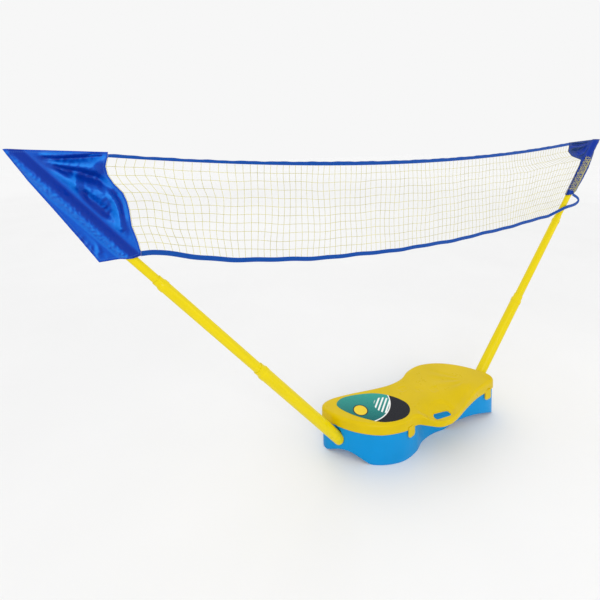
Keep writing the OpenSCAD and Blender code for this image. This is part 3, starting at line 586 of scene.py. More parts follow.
def cross_y(line, x, side):
    """Where a closed line crosses x, on the back (side 1) or the front (side -1)."""
    a, b = line, np.roll(line, -1, 0)
    hit = (a[:, 0] - x) * (b[:, 0] - x) <= 0
    a, b = a[hit], b[hit]
    step = np.where(b[:, 0] == a[:, 0], 1, b[:, 0] - a[:, 0])
    y = a[:, 1] + (b[:, 1] - a[:, 1]) * (x - a[:, 0]) / step
    return side * np.max(side * y)


SPINE_X = np.linspace(-290, 290, 117)
SPINE_Y = np.array([(cross_y(OUTLINE, x, 1) + cross_y(OUTLINE, x, -1)) / 2 for x in SPINE_X])


def to_spine(line):
    """Unit ways and distances from a closed line's points in to the case's middle line."""
    x = np.clip(line[:, 0] * 0.87, -285, 285)
    way = np.stack([x, np.interp(x, SPINE_X, SPINE_Y)], 1) - line
    far = np.linalg.norm(way, axis=1)
    return way / far[:, None], far


def level(plan, z):
    """A plan's points at one height, or at a height each."""
    return np.column_stack([plan, np.broadcast_to(z, len(plan))])


def blurred(values, width):
    """Values round a closed line, each averaged with its neighbours over a width."""
    kernel, half = np.hanning(width) / np.hanning(width).sum(), width // 2
    return np.convolve(np.concatenate([values[-half:], values, values[:half]]), kernel, "valid")


def closed_solid(name, rings):
    """A closed mesh from rings of equal count, with its two ends closed."""
    n = len(rings[0])
    faces = grid_faces(len(rings), n, wrap=True) + end_faces(n, len(rings))
    return mesh_object(name, np.concatenate(rings), faces)


def combine(target, tool, operation):
    """Changes target's mesh by a boolean with the tool, and drops the tool."""
    modifier = target.modifiers.new("cut", "BOOLEAN")
    modifier.operation, modifier.solver, modifier.object = operation, "MANIFOLD", tool
    made = plain_mesh(target)
    if len(made.polygons) < 8:
        raise RuntimeError("a cut left nothing of " + target.name)
    target.modifiers.clear()
    target.data = made
    bpy.data.objects.remove(tool)


def join(target, *tools):
    for tool in tools:
        combine(target, tool, "UNION")


def cut(target, *tools):
    for tool in tools:
        combine(target, tool, "DIFFERENCE")


def drop_slivers(obj):
    """Merges points nearer than 0.003 mm and drops the faces that this leaves empty."""
    bm = bmesh.new()
    bm.from_mesh(obj.data)
    bmesh.ops.triangulate(bm, faces=[f for f in bm.faces if len(f.verts) > 4])
    bmesh.ops.remove_doubles(bm, verts=bm.verts, dist=3e-6)
    bmesh.ops.dissolve_degenerate(bm, edges=bm.edges, dist=3e-6)
    empty = [f for f in bm.faces if f.calc_area() < 1e-12]
    bmesh.ops.delete(bm, geom=empty, context="FACES_ONLY")
    bm.to_mesh(obj.data)
    bm.free()


def circle(first, second, radius, sides=48):
    """Points round a circle in the plane of two unit ways."""
    turn = np.linspace(0, 2 * math.pi, sides, endpoint=False)[:, None]
    return radius * (np.cos(turn) * first + np.sin(turn) * second)


def rod(name, start, end, radius, sides=48):
    """A cylinder between two points."""
    start, end = np.array(start, float), np.array(end, float)
    way = unit(end - start)
    side = unit(np.cross(way, (0.3, 0.8, 0.52)))
    ring = circle(side, np.cross(way, side), radius, sides)
    return closed_solid(name, [start + ring, end + ring])


def hinge_rod(name, low, high, radius, sides=48):
    """A rod on the axis of the lid's hinges, between two places along it."""
    return rod(name, (low, HINGE_Y, HINGE_Z), (high, HINGE_Y, HINGE_Z), radius, sides)


def pivot_rod(name, side, inner, outer, radius):
    """A rod on a pole pivot's axis, between two distances from the pole's middle line."""
    return rod(name, *((side * PIVOT_X, -side * (PIVOT_Y + off), PIVOT_Z)
                       for off in (inner, outer)), radius)


def block(name, low, high):
    """A box between two corners."""
    (a, b, c), (d, e, f) = low, high
    ring = np.array([(a, b), (d, b), (d, e), (a, e)], float)
    return closed_solid(name, [level(ring, c), level(ring, f)])


def pole_room(side, lean, room):
    """The space of a pole's foot at a lean, with a round lower end."""
    angle = RAKE + math.radians(lean)
    up = np.array([side * math.cos(angle), 0, math.sin(angle)])
    pivot = np.array([side * PIVOT_X, -side * PIVOT_Y, PIVOT_Z])
    across, forth, radius = np.cross(up, (0, 1, 0)), np.array([0, 1, 0]), POLE_R + room
    rings = [pivot + up * (math.sin(a) * radius - NOSE_SHIFT)
             + circle(across, forth, math.cos(a) * radius)
             for a in np.radians(np.linspace(-84, 0, 9))]
    return closed_solid("pole", rings + [rings[-1] + up * POLE_ROOM])


def rounded_slot(grow, z):
    """The finger slot's rounded plan, grown on all sides, at a height."""
    turn = np.linspace(0, 2 * math.pi, 64, endpoint=False)
    radius, half = SLOT_W / 2 + grow, (SLOT_L - SLOT_W) / 2
    plan = np.stack([np.cos(turn) * radius + np.sign(np.cos(turn)) * half,
                     np.sin(turn) * radius], 1)
    along = np.array([math.cos(SLOT_TILT), math.sin(SLOT_TILT)])
    return level(plan @ np.array([along, (-along[1], along[0])]) + SLOT_AT, z)


def rim_radius(reach):
    """The radius of the lid's rounded rim, which is smaller where the grip stands out."""
    return RIM_R - (RIM_R - GRIP_RIM_R) * smooth(reach / 40)


def lid_surface(x, y, d, reach):
    """Height of the lid's top: level on the case, sloping down and dished on the grip."""
    lip, edge, full = CASE_H - GRIP_DROP * smooth(reach / 70), rim_radius(reach), reach + 28
    z = lip + (CASE_H - lip) * smooth((d - edge) / (full - edge))
    z = z - DISH_DEPTH * np.exp(-((d - DISH_AT) / DISH_W) ** 2) * smooth((reach - 6) / 30)
    # The hollow has a steep curved back
    (cx, cy), (half_x, half_y) = HOLLOW_AT, HOLLOW_HALF
    far = np.hypot((x - cx) / half_x, (y - cy) / half_y)
    z = z - HOLLOW_DEPTH * (1 - smooth((far - 0.78) / 0.32))
    for cx, cy, depth in SEATS:
        far = ((x - cx) / SEAT_HALF[0]) ** 4 + ((y - cy) / SEAT_HALF[1]) ** 4
        z = z - depth * smooth((1.5 - far) / 0.9)
    dx, dy = RAYS_AT[0] - x, y - RAYS_AT[1]
    away, turn = np.hypot(dx, dy), np.arctan2(dy, dx)
    ray = np.abs((turn * RAYS / math.pi * 2) % 1 - 0.5) * 2
    window = (smooth((away - RAY_ENDS[0]) / 25) * (1 - smooth((away - RAY_ENDS[1]) / 50))
              * (1 - smooth((np.abs(turn) - 0.75) / 0.35)))
    return z - RAY_DEPTH * window * smooth(ray)


def grip_reach(way, far):
    """How far each point of the lid's rim stands out of the case, which it does at the grip."""
    reach = np.zeros(len(LID_RIM))
    for i, (p, w) in enumerate(zip(LID_RIM, way)):
        across = np.array([-w[1], w[0]])
        side, side_next = (OUTLINE - p) @ across, (np.roll(OUTLINE, -1, 0) - p) @ across
        ahead = (OUTLINE - p) @ w
        hit = (side * side_next <= 0) & (ahead > 0) & (ahead < far[i])
        reach[i] = ahead[hit].min() if hit.any() else 0
    x, y = LID_RIM.T
    return blurred(np.where((y < -70) & (x > -90) & (x < 285), reach, 0), 13)


def build_lid():
    """The lid's solid: skirt, rounded rim, grip and relief, cut hollow from below."""
    way, far = to_spine(LID_RIM)
    reach = grip_reach(way, far)
    edge = rim_radius(reach)

    def moved(d):
        return LID_RIM + way * np.reshape(d, (-1, 1))

    def at(d, lift=0.0):
        plan = moved(d)
        return np.column_stack([plan, lid_surface(plan[:, 0], plan[:, 1], d, reach) + lift])

    crown = at(edge)[:, 2]
    # From the middle of the underside out to the skirt's foot, up the skirt, over the rim
    rings = [level(moved(d), SKIRT_Z + z) for d, z in
             ((far - CORE, 0), (far * 0.4, 0), (0.9, 0), (0.25, 0.25), (0, 0.9))]
    rings += [level(LID_RIM, SKIRT_Z + (crown - edge - SKIRT_Z) * t) for t in (0.35, 0.7, 1)]
    rings += [level(moved(edge * (1 - math.cos(a))), crown - edge * (1 - math.sin(a)))
              for a in np.radians((12, 26, 40, 54, 68, 80))]
    rings += [at(edge + (far - CORE - edge) * t) for t in np.linspace(0, 1, 46) ** 0.93]
    lid = closed_solid("lid_shell", rings)
    cut(lid, closed_solid("hollow", [level(inset(OUTLINE, by), z) for by, z in (
        (LID_WALL, BELOW), (LID_WALL, TRAY_TOP + 0.3), (7.5, TRAY_TOP + 0.3), (7.5, 117),
        (11, 122), (20, 125.2))]))
    # The grip is hollow too, between its own front wall and the tray's
    grip, rings = reach > 14, []
    for t in np.linspace(0, 1, 16):
        top = at(GRIP_WALL + (reach - GRIP_GAP - GRIP_WALL) * t, -GRIP_SKIN)[grip]
        rings.append(np.concatenate([top, level(top[::-1, :2], BELOW - 2)]))
    cut(lid, closed_solid("grip_hollow", rings),
        closed_solid("slot", [rounded_slot(grow, z) for grow, z in (
            (0.4, BELOW), (0, 104), (0, 109.5), (0.4, 111), (1.4, 112.4), (3, 118))]))
    join(lid, *map(snap_tab, TAB_XS))
    for x in HINGE_XS:
        wall_y = cross_y(OUTLINE, x, 1)
        join(lid, hinge_rod("knuckle", x - KNUCKLE_HALF, x + KNUCKLE_HALF, KNUCKLE_R),
             block("strap", (x - 12.9, wall_y - 2.4, 99), (x + 12.9, HINGE_Y + 2.9, 102.9)),
             block("web", (x - 12.8, HINGE_Y - 3, HINGE_Z), (x + 12.8, HINGE_Y + 3, 101.8)))
        cut(lid, hinge_rod("bore", x - BORE_HALF, x + BORE_HALF, PIN_BORE_R, 24))
    cut(lid, *(pole_room(side, POLE_LEAN, 0.7) for side, _ in SIDES))
    return lid


def snap_tab(x):
    """A latch tab below the skirt, along the front, with round corners."""
    half, radius, foot = 14, 8, 78
    y = cross_y(OUTLINE, x, -1)
    slope = (cross_y(OUTLINE, x + 5, -1) - cross_y(OUTLINE, x - 5, -1)) / 10
    along = unit(np.array([1, slope]))
    out = np.array([along[1], -along[0]])
    path = [(-half, TRAY_TOP), (-half, foot)] + [
        (radius - half - radius * math.cos(a), foot - radius * math.sin(a))
        for a in np.radians((22, 45, 68, 90))]
    path += [(-u, z) for u, z in path[::-1]]
    rings = []
    for grow, depth in ((-0.8, -2.4), (0, -2.0), (0, 0.4), (-0.3, 1.0), (-1.0, 1.4)):
        rings.append(np.array([
            (*(np.array([x, y]) + along * (u + math.copysign(grow, u)) + out * depth),
             z - (grow if z < SKIRT_Z else 0)) for u, z in path]))
    return closed_solid("tab", rings)


def tray_foot(line):
    """Height of the tray's lower edge: arches under the poles' feet and in the long flanks."""
    rise = np.zeros(len(line))
    for turn in (1, -1):
        x, y = turn * line[:, 0], turn * line[:, 1]
        along = (x + 276) * 0.63 - (y + 5) * 0.777
        under_pole = END_ARCH * np.sin(math.pi * np.clip((along + 74) / 150, 0, 1)) ** 1.15
        flank = FLANK_ARCH * np.clip(1 - ((x - 208) / 112) ** 2, 0, 1) ** 0.85
        rise = np.maximum(rise, np.where((x < -200) & (y < 62), under_pole, 0))
        rise = np.maximum(rise, np.where((x > 60) & (y < 0), flank, 0))
    return blurred(rise, 9)


def build_tray():
    """The tray: drafted wall with arches, a rim, a floor, pole housings and hinge ears."""
    line = inset(OUTLINE, TRAY_INSET)
    foot = tray_foot(line)
    way, far = to_spine(line)
    core, inside_z = (far - CORE, far * 0.35), FLOOR_Z + FLOOR_T

    def wall(d, z):
        return level(inset(line, d), z)

    # The underside, the foot, the outer wall, the rim and the inside, as inset and height
    profile = [(4.8, FLOOR_Z), (4.6, np.minimum(foot + 1.0, FLOOR_Z - 0.1)), (4.3, foot + 0.2),
               (3.9, foot), (2.6, foot), (1.9, foot + 0.35), (1.6, foot + 1.2)]
    profile += [(1.6 * (1 - t), foot + (TRAY_TOP - foot) * t) for t in (0.15, 0.35, 0.6, 0.8)]
    profile += [(d, TRAY_TOP - z) for d, z in
                ((0, 0.8), (0.2, 0.2), (0.8, 0), (2.2, 0), (2.8, 0.2), (3, 0.8))]
    profile += [(3.4, FLOOR_Z + 9), (5.2, FLOOR_Z + 4.2), (9, inside_z)]
    tray = closed_solid("tray_shell", [
        *(level(line + way * d[:, None], FLOOR_Z) for d in core),
        *(wall(d, z) for d, z in profile),
        *(level(line + way * d[:, None], inside_z) for d in core[::-1])])
    for side, _ in SIDES:
        low, high = sorted(side * end for end in HOUSING_ENDS)
        housing = block("housing", (low, -side * PIVOT_Y - HOUSING_HALF, FLOOR_Z + 1),
                        (high, -side * PIVOT_Y + HOUSING_HALF, TRAY_TOP))
        combine(housing, closed_solid("inside", [wall(0.4, FLOOR_Z - 5), wall(0.4, TRAY_TOP + 5)]),
                "INTERSECT")
        join(tray, housing, pivot_rod("boss", side, 22, 34.5, BOSS_R))
        cut(tray, pivot_rod("bore", side, -19, 31.5, PIVOT_BORE_R),
            *(pole_room(side, lean, 1.3) for lean in (0, POLE_LEAN / 2, POLE_LEAN)))
    for x in HINGE_XS:
        for side, _ in SIDES:
            low, high = sorted(x + side * end for end in EAR_ENDS)
            wall_y = min(cross_y(line, low, 1), cross_y(line, high, 1))
            join(tray, hinge_rod("ear", low, high, KNUCKLE_R),
                 block("arm", (low + 0.05, wall_y - 2, HINGE_Z - 17),
                       (high - 0.05, HINGE_Y - 0.1, HINGE_Z - 2)))
        cut(tray, hinge_rod("bore", x - BORE_HALF, x + BORE_HALF, PIN_BORE_R, 24))
    return tray


class NETSET_OT_case(Operator):
    """Shapes the lid and the tray of the carry case"""

    bl_idname = "netset.case"
    bl_label = "Case"

    def execute(self, context):
        for node, build, body in (("lid", build_lid, "lid"), ("tray", build_tray, "root")):
            obj = build()
            drop_slivers(obj)
            obj.data.polygons.foreach_set("use_smooth", [True] * len(obj.data.polygons))
            obj.data.set_sharp_from_angle(angle=math.radians(38))
            dress(obj, FINISH[node])
            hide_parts(node)
            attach(obj, body)
        return {"FINISHED"}


# ---- Mesh ----------------------------------------------------------------------------------
# The cloth round a pole's tip: half its width, and how far it bulges over the tube
SLEEVE_W, SLEEVE_H = 22.5, 13.2
# The bunched mesh over the right sleeve: its ends along the pole, how far it stands off,
# its half width, and the length in which a string goes across it and back
BUNCH_ENDS, BUNCH_OFF, BUNCH_HALF, BUNCH_TURN = (958, 1166), 4.6, 20, 74
# Points from knot to knot along an upright string, and along half of a level one
KNOT_STEP, LEVEL_POINTS = 4, 150


def bulge(off):
    """The share of the sleeve's height at a distance from the pole's middle line."""
    return np.where(np.abs(off) < SLEEVE_W, (1 + np.cos(math.pi * off / SLEEVE_W)) / 2, 0)


def sway(x, z, t, u):
    """How far a string leans away from a straight grid, dying out at the tapes and ends."""
    hold = min(1.0, 6 * t * (1 - t)) * min(1.0, 40 * u * (1 - u))
    dx = 3.2 * math.sin(x / 92 + z / 61) + 1.8 * math.sin(x / 31 - z / 43)
    dz = 2.2 * math.sin(x / 74 - z / 88) + 1.4 * math.sin(x / 23 + 1.7)
    return dx * hold, dz * hold


def mesh_point(u, t):
    x = mesh_x(u, t)
    z = mesh_z(x, t)
    dx, dz = sway(x, z, t, u)
    return [x + dx, net_y(x), z + dz]


def twine_tree():
    """Geometry Nodes: strings become round twine, and a knot sits on each marked crossing."""
    tree = bpy.data.node_groups.new("Twine and knots", "GeometryNodeTree")
    for name, kind, default in (("Geometry", "Geometry", None), ("Twine radius", "Float", 0.0008),
                                ("Knot radius", "Float", 0.0014), ("Sides", "Int", 6),
                                ("Material", "Material", None)):
        socket = tree.interface.new_socket(name, in_out="INPUT", socket_type="NodeSocket" + kind)
        if default is not None:
            socket.default_value = default
    tree.interface.new_socket("Geometry", in_out="OUTPUT", socket_type="NodeSocketGeometry")

    def node(kind, *links, **values):
        made = tree.nodes.new(kind)
        for name, value in values.items():
            if hasattr(made, name):
                setattr(made, name, value)
            else:
                made.inputs[name.replace("_", " ")].default_value = value
        for name, source, output in links:
            tree.links.new(source.outputs[output], made.inputs[name])
        return made

    asked = node("NodeGroupInput")
    line = node("GeometryNodeMeshToCurve", ("Mesh", asked, "Geometry"))
    profile = node("GeometryNodeCurvePrimitiveCircle", ("Resolution", asked, "Sides"),
                   ("Radius", asked, "Twine radius"))
    twine = node("GeometryNodeCurveToMesh", ("Curve", line, "Curve"),
                 ("Profile Curve", profile, "Curve"), Fill_Caps=True)
    marked = node("GeometryNodeInputNamedAttribute", data_type="BOOLEAN", Name="knot")
    places = node("GeometryNodeMeshToPoints", ("Mesh", asked, "Geometry"),
                  ("Selection", marked, "Attribute"))
    knot = node("GeometryNodeMeshIcoSphere", ("Radius", asked, "Knot radius"), Subdivisions=1)
    knots = node("GeometryNodeInstanceOnPoints", ("Points", places, "Points"),
                 ("Instance", knot, "Mesh"))
    joined = node("GeometryNodeJoinGeometry", ("Geometry", twine, "Mesh"),
                  ("Geometry", knots, "Instances"))
    real = node("GeometryNodeRealizeInstances", ("Geometry", joined, "Geometry"))
    rounded = node("GeometryNodeSetShadeSmooth", ("Geometry", real, "Geometry"))
    dressed = node("GeometryNodeSetMaterial", ("Geometry", rounded, "Geometry"),
                   ("Material", asked, "Material"))
    node("NodeGroupOutput", ("Geometry", dressed, "Geometry"))
    return tree


def bake_nodes(obj, tree, values):
    """Runs a Geometry Nodes tree on obj and returns the plain mesh that it makes."""
    modifier = obj.modifiers.new(tree.name, "NODES")
    modifier.node_group = tree
    for item in tree.interface.items_tree:
        if item.item_type == "SOCKET" and item.in_out == "INPUT" and item.name in values:
            modifier[item.identifier] = values[item.name]
    result, name = plain_mesh(obj), obj.name
    bpy.data.objects.remove(obj)
    made = add_object(name, result)
    made.data.name = name
    return made


def half_mesh(side, columns, rows):
    """The mesh's strings on one side of its middle: each a path and its knots' marks."""
    left, right = edge_x(-1, 0.5), edge_x(1, 0.5)
    stops = np.linspace(0, 1, KNOT_STEP * (rows + 1) + 1)
    marks = [j % KNOT_STEP == 0 and 0 < j < len(stops) - 1 for j in range(len(stops))]
    strings = [([mesh_point(k / columns, t) for t in stops], marks) for k in range(columns + 1)
               if (mesh_x(k / columns, 0.5) < 0) == (side < 0)]
    middle = left / (left - right)
    span = np.linspace(*((0, middle) if side < 0 else (middle, 1)), LEVEL_POINTS)
    return strings + [([mesh_point(u, r / (rows + 1)) for u in span], [False] * LEVEL_POINTS)
                      for r in range(1, rows + 1)]


def bunched_strings(count=9, steps=70):
    """The slack right end of the mesh, drawn together in narrow diamonds over the sleeve."""
    strings = []
    for k in range(count):
        path = []
        for s in np.linspace(BUNCH_ENDS[0], BUNCH_ENDS[1] - 4 * (k % 3), steps):
            turn = (s / BUNCH_TURN + k / count + 0.03 * math.sin(s / 17 + 2 * k)) % 1
            off = BUNCH_HALF * (2 * abs(2 * turn - 1) - 1) + 0.8 * math.sin(s / 11 + 5 * k)
            x, z = by_pole(s, off)
            path.append([x, -PIVOT_Y - BUNCH_OFF - SLEEVE_H * bulge(off), z])
        strings.append((path, [i % KNOT_STEP == KNOT_STEP // 2 for i in range(steps)]))
    return strings


def knotted(name, strings, look, tree):
    """Twine along each string, as one piece of the net."""
    points, edges, knots = [], [], []
    for path, marks in strings:
        edges += [(k, k + 1) for k in range(len(points), len(points) + len(path) - 1)]
        points += path
        knots += marks
    data = bpy.data.meshes.new(name)
    data.from_pydata(in_frame(points), edges, [])
    data.attributes.new("knot", "BOOLEAN", "POINT").data.foreach_set("value", knots)
    made = bake_nodes(add_object(name, data), tree, {
        "Twine radius": look.twine_radius, "Knot radius": look.knot_radius,
        "Material": FINISH["twine"].material})
    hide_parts("net")
    return made


class NETSET_OT_mesh(Operator):
    """Builds the knotted mesh in two halves, and the bunched strings over the right sleeve"""

    bl_idname = "netset.mesh"
    bl_label = "Mesh"

    def execute(self, context):
        look, tree = context.scene.netset_net, twine_tree()
        for side, word in SIDES:
            strings = half_mesh(side, look.columns, look.rows)
            bend_with_pole(knotted(word + "_mesh", strings, look, tree))
        bunch = knotted("right_bunched_mesh", bunched_strings(), look, tree)
        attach(bunch, "right_lower")
        return {"FINISHED"}


# ---- Tapes ---------------------------------------------------------------------------------
# How far short of the mesh's foot the bottom tape turns in front of the right pole
TURN_AT = 68
# The turn itself, back to the pocket's foot
LOOP = [(880, -27, 707), (926, -27, 712), (955, -27, 716), (976, -26, 722), (987.5, -26, 730.5),
        (985, -26, 740), (972, -26, 749), (956, -26.2, 756.5), (941, -26.4, 763)]
# How long each half of the bottom tape is, in metres
BOTTOM_LENGTH = {-1: 0.913, 1: 1.049}
BAND_SIDES = 12


def onward(path):
    """The way on from each point of a path, from the point before it to the one after."""
    p = np.concatenate([path[:1], path, path[-1:]])
    return p[2:] - p[:-2]


def band(name, path, ups, widths, thick):
    """A folded cloth band along a path, with soft round edges; UV runs along and across it."""
    turn = np.linspace(0, 2 * math.pi, BAND_SIDES + 1)[:-1]
    shape = [(math.copysign(abs(math.cos(a)) ** 0.5, math.cos(a)) * thick / 2,
              math.copysign(abs(math.sin(a)) ** 0.35, math.sin(a)) / 2) for a in turn]
    steps = np.linalg.norm(np.diff(path, axis=0, prepend=path[:1]), axis=1)
    points, uvs = [], []
    for p, up, width, way, along in zip(path, ups, widths, onward(path), np.cumsum(steps)):
        out = unit(np.cross(unit(way), up))
        for k, (a, b) in enumerate(shape):
            points.append(p + out * a + up * b * width)
            uvs.append((along / 1000, k / BAND_SIDES * 2 * TAPE_V))
    faces = grid_faces(len(path), BAND_SIDES, wrap=True) + end_faces(BAND_SIDES, len(path))
    obj = mesh_object(name, points, faces, uvs)
    dress(obj, FINISH["tape"])
    return obj


def tape_width(side, x):
    """The top tape's width: rolled in towards the left pocket, flat further right."""
    rolled = smooth((-x - 250) / 550) if side < 0 else 0.0
    return TOP_TAPE - 1 - 4.5 * rolled + 0.5 * math.sin(x / 17) + 0.4 * math.sin(x / 7.3)


def tape_wave(x):
    """Slack waves in the bottom tape."""
    return 1.1 * math.sin(x / 47) + 0.8 * math.sin(x / 19 + 1)


def top_tape(side, word):
    """Half of the top tape, on the mesh's upper edge."""
    xs = np.linspace(0, edge_x(side, 1), 200)
    wide = [tape_width(side, x) for x in xs]
    path = np.array([(x, net_y(x), top_z(x) + 0.6 + w / 2) for x, w in zip(xs, wide)])
    return band(word + "_top_tape", path, np.tile((0.0, 0.0, 1.0), (200, 1)), wide, 2.2)


def bottom_tape(side, word):
    """Half of the bottom tape; the right one turns back in front of its pole."""
    end, count = edge_x(side, 0) - (TURN_AT if side > 0 else 0), 150 if side > 0 else 190
    path = [(x, net_y(x), bottom_z(x) - BOTTOM_TAPE / 2 + tape_wave(x))
            for x in np.linspace(0, end, count)]
    if side > 0:
        path = path[:-1] + smooth_curve([path[-1]] + LOOP, 8)
    path = np.array(path)
    ups = [(-way[1] * side, 0, way[0] * side) for way in map(unit, onward(path)[:, ::2])]
    return band(word + "_bottom_tape", path, np.array(ups),
                [BOTTOM_TAPE + 1.5] * len(path), 2.0)


class NETSET_OT_tapes(Operator):
    """Sews the top and bottom tapes, each in two halves"""

    bl_idname = "netset.tapes"
    bl_label = "Tapes"

    def execute(self, context):
        for side, word in SIDES:
            top, bottom = top_tape(side, word), bottom_tape(side, word)
            for piece, node, width, length in (
                    (top, "top_tape", TOP_TAPE, abs(edge_x(side, 1)) / 1000),
                    (bottom, "bottom_tape", BOTTOM_TAPE + 2, BOTTOM_LENGTH[side])):
                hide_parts(node)
                bend_with_pole(piece)
        return {"FINISHED"}


# ---- End pockets ---------------------------------------------------------------------------
# How far each pocket's outer edge bulges below the pole's line, at even steps up to the tip
OUTSIDE = {-1: [53, 41, 30, 20, 3], 1: [36, 42, 43, 30, 3]}
# Where its foot crosses the pole, and the level at which its rows start; the mesh has 11
FOOT_AT = {-1: TIP_AT - 334, 1: TIP_AT - 301}
FIRST_ROW, MESH_ROW, LAST_ROW = {-1: -1.0, 1: 2.4}, 11, 12
ROWS, COLS = 120, 90
# Below the mesh a row is this high; the cloth laps over the mesh's edge by this much
LOW_ROW, LAP = 12.3, 1.5
# In the UV map the pocket's two sides lie this far apart from its middle, in metres
UV_APART = 0.6
# Half the cloth's thickness, and half the pocket's where it lies flat
LINING_HALF, FLAT_HALF = 0.5, 1.2
# The range of the painted-light attribute: painted bright satin on the left, painted navy shade on
# the right
PAINTED_LIGHT_RANGE = {-1: (0.0, 1.0), 1: (-0.4, 0.0)}
# Folds: height, width at each end, and the line they follow, as x and z
FOLDS = {
    -1: [(-11, 6, 13, [(-1120, 993), (-1086, 987), (-1027, 989), (-955, 1000)]),
         (-13, 7, 17, [(-1112, 982), (-1077, 970), (-1027, 956), (-990, 938), (-955, 918)]),
         (12, 9, 20, [(-1105, 987), (-1060, 974), (-1010, 966), (-955, 962)]),
         (9, 6, 9, [(-1105, 1001), (-1060, 1001), (-1000, 1006)]),
         (11, 10, 20, [(-1098, 968), (-1060, 938), (-1030, 925), (-990, 908), (-955, 890)]),
         (-12, 9, 16, [(-1100, 950), (-1060, 890), (-1018, 832), (-990, 785)]),
         (9, 8, 13, [(-1034, 948), (-1038, 918), (-1032, 885), (-1012, 845)]),
         (-12, 8, 20, [(-1022, 915), (-1008, 885), (-985, 858), (-958, 835)]),
         (9, 7, 10, [(-965, 900), (-950, 878), (-943, 850), (-940, 815)]),
         (-8, 6, 8, [(-952, 905), (-934, 870), (-928, 835)]),
         (10, 7, 12, [(-985, 838), (-962, 826), (-934, 802)]),
         (-9, 7, 9, [(-982, 812), (-955, 800), (-935, 782)]),
         (9, 6, 8, [(-962, 792), (-948, 780), (-930, 770)]),
         (8, 5, 6, [(-1000, 830), (-992, 800), (-986, 762)])],
    1: [(-7, 4, 9, [(1110, 1000), (1050, 990), (990, 992), (955, 996)]),
        (-8, 4, 10, [(1104, 990), (1060, 970), (1015, 958), (965, 962)]),
        (6, 4, 9, [(1108, 996), (1040, 983), (950, 978)]),
        (7, 5, 9, [(1095, 975), (1055, 950), (1020, 942)]),
        (-6, 6, 9, [(1150, 975), (1110, 915), (1060, 855), (1010, 800)])],
}


def inner_end(side, r):
    """The inner end of a pocket's row: along the mesh, and over the tapes above and below."""
    t = min(max(r, 0), MESH_ROW) / MESH_ROW
    x = edge_x(side, t)
    if r < 0:
        return np.array([x + side * 0.3, mesh_z(x, t) + LOW_ROW * r])
    if r > MESH_ROW:
        return np.array([x + side * 0.3, top_z(x) + TOP_TAPE * (r - MESH_ROW)])
    return np.array([x + side * LAP, mesh_z(x, t)])


def outer_end(side, r):
    """The outer end of a pocket's row, beyond the pole."""
    t = (r - FIRST_ROW[side]) / (LAST_ROW - FIRST_ROW[side])
    off = float(np.interp(t, np.linspace(0, 1, 5), OUTSIDE[side]))
    return by_pole(FOOT_AT[side] + t * (TIP_AT - FOOT_AT[side]), off) * (side, 1)


def fold_depth(side, x, z):
    """How far the cloth stands off its flat shape, from the folds and fine crumples."""
    depth = np.zeros(x.shape)
    for height, start, end, line in FOLDS[side]:
        line = np.array(line, float)
        step = np.diff(line, axis=0)
        lengths = np.linalg.norm(step, axis=1)
        total, before, best, along = lengths.sum(), 0.0, np.full(x.shape, 1e9), np.zeros(x.shape)
        for (a, b), (dx, dz), length in zip(line, step, lengths):
            t = np.clip(((x - a) * dx + (z - b) * dz) / length**2, 0, 1)
            far = np.hypot(x - a - t * dx, z - b - t * dz)
            along = np.where(far < best, (before + t * length) / total, along)
            best = np.minimum(best, far)
            before += length
        width = start + (end - start) * along
        ends = smooth((along + 0.12) / 0.3) * smooth((1.12 - along) / 0.3)
        depth += height * ends * np.exp(-((best / width) ** 2))
    return depth - 2.2 * np.abs(crumple(x, z, 19, 3 * side)) - 0.7 * crumple(x, z, 8, 7 * side)


def crumple(x, z, size, seed):
    """Smooth noise over the cloth, about 1 high, with dents of the given size."""
    values = [noise.noise((a / size, b / size, seed)) for a, b in zip(x.ravel(), z.ravel())]
    return np.reshape(values, x.shape)


def pocket_plan(side, least=0.0):
    """x and z over a pocket's rows and columns, kept inside its edge by a share."""
    plan = []
    for r in np.linspace(FIRST_ROW[side], LAST_ROW * (1 - least), ROWS):
        o, e = outer_end(side, r), inner_end(side, r)
        plan.append([o + (e - o) * v for v in np.linspace(least, 1 - least, COLS)])
    return np.moveaxis(np.array(plan), 2, 0)


def pocket_layer(side, lining):
    """A layer of the pocket, from its open foot to its hem: both faces, UVs and fold depth.

    The lining lies inside the outer layer by the cloth's thickness."""
    x, z = pocket_plan(side, 0.006 if lining else 0.0)
    off = (side * x - PIVOT_X) * math.sin(RAKE) - (z - PIVOT_Z) * math.cos(RAKE)
    near = np.clip(1 - np.abs(off) / (2 * SLEEVE_W), 0, 1)
    middle = net_y(x) + (-side * PIVOT_Y - net_y(x)) * smooth(near * 1.5)
    v, r = np.linspace(0, 1, COLS)[None, :], np.linspace(0, 1, ROWS)[:, None]
    hem = smooth((1 - v) * 6) * smooth((1 - r) * 14) * smooth(r * 9 + 0.25)
    fold = fold_depth(side, x, z) * hem * (1 - smooth(near * 2))
    ripple = 1.6 * np.abs(crumple(x, z, 10, 11)) + 1.2 * np.abs(crumple(x, z, 24, 13))
    half = ((LINING_HALF if lining else FLAT_HALF) + SLEEVE_H * bulge(off)
            + smooth(bulge(off) * 2) * ripple)
    faces = [(np.stack([x, middle - fold + face * half, z], -1).reshape(-1, 3),
              np.stack([x / 1000, z / 1000 + UV_APART * face], -1).reshape(-1, 2),
              -face * fold.ravel()) for face in (-1, 1)]
    return [np.concatenate(pair) for pair in zip(*faces)]


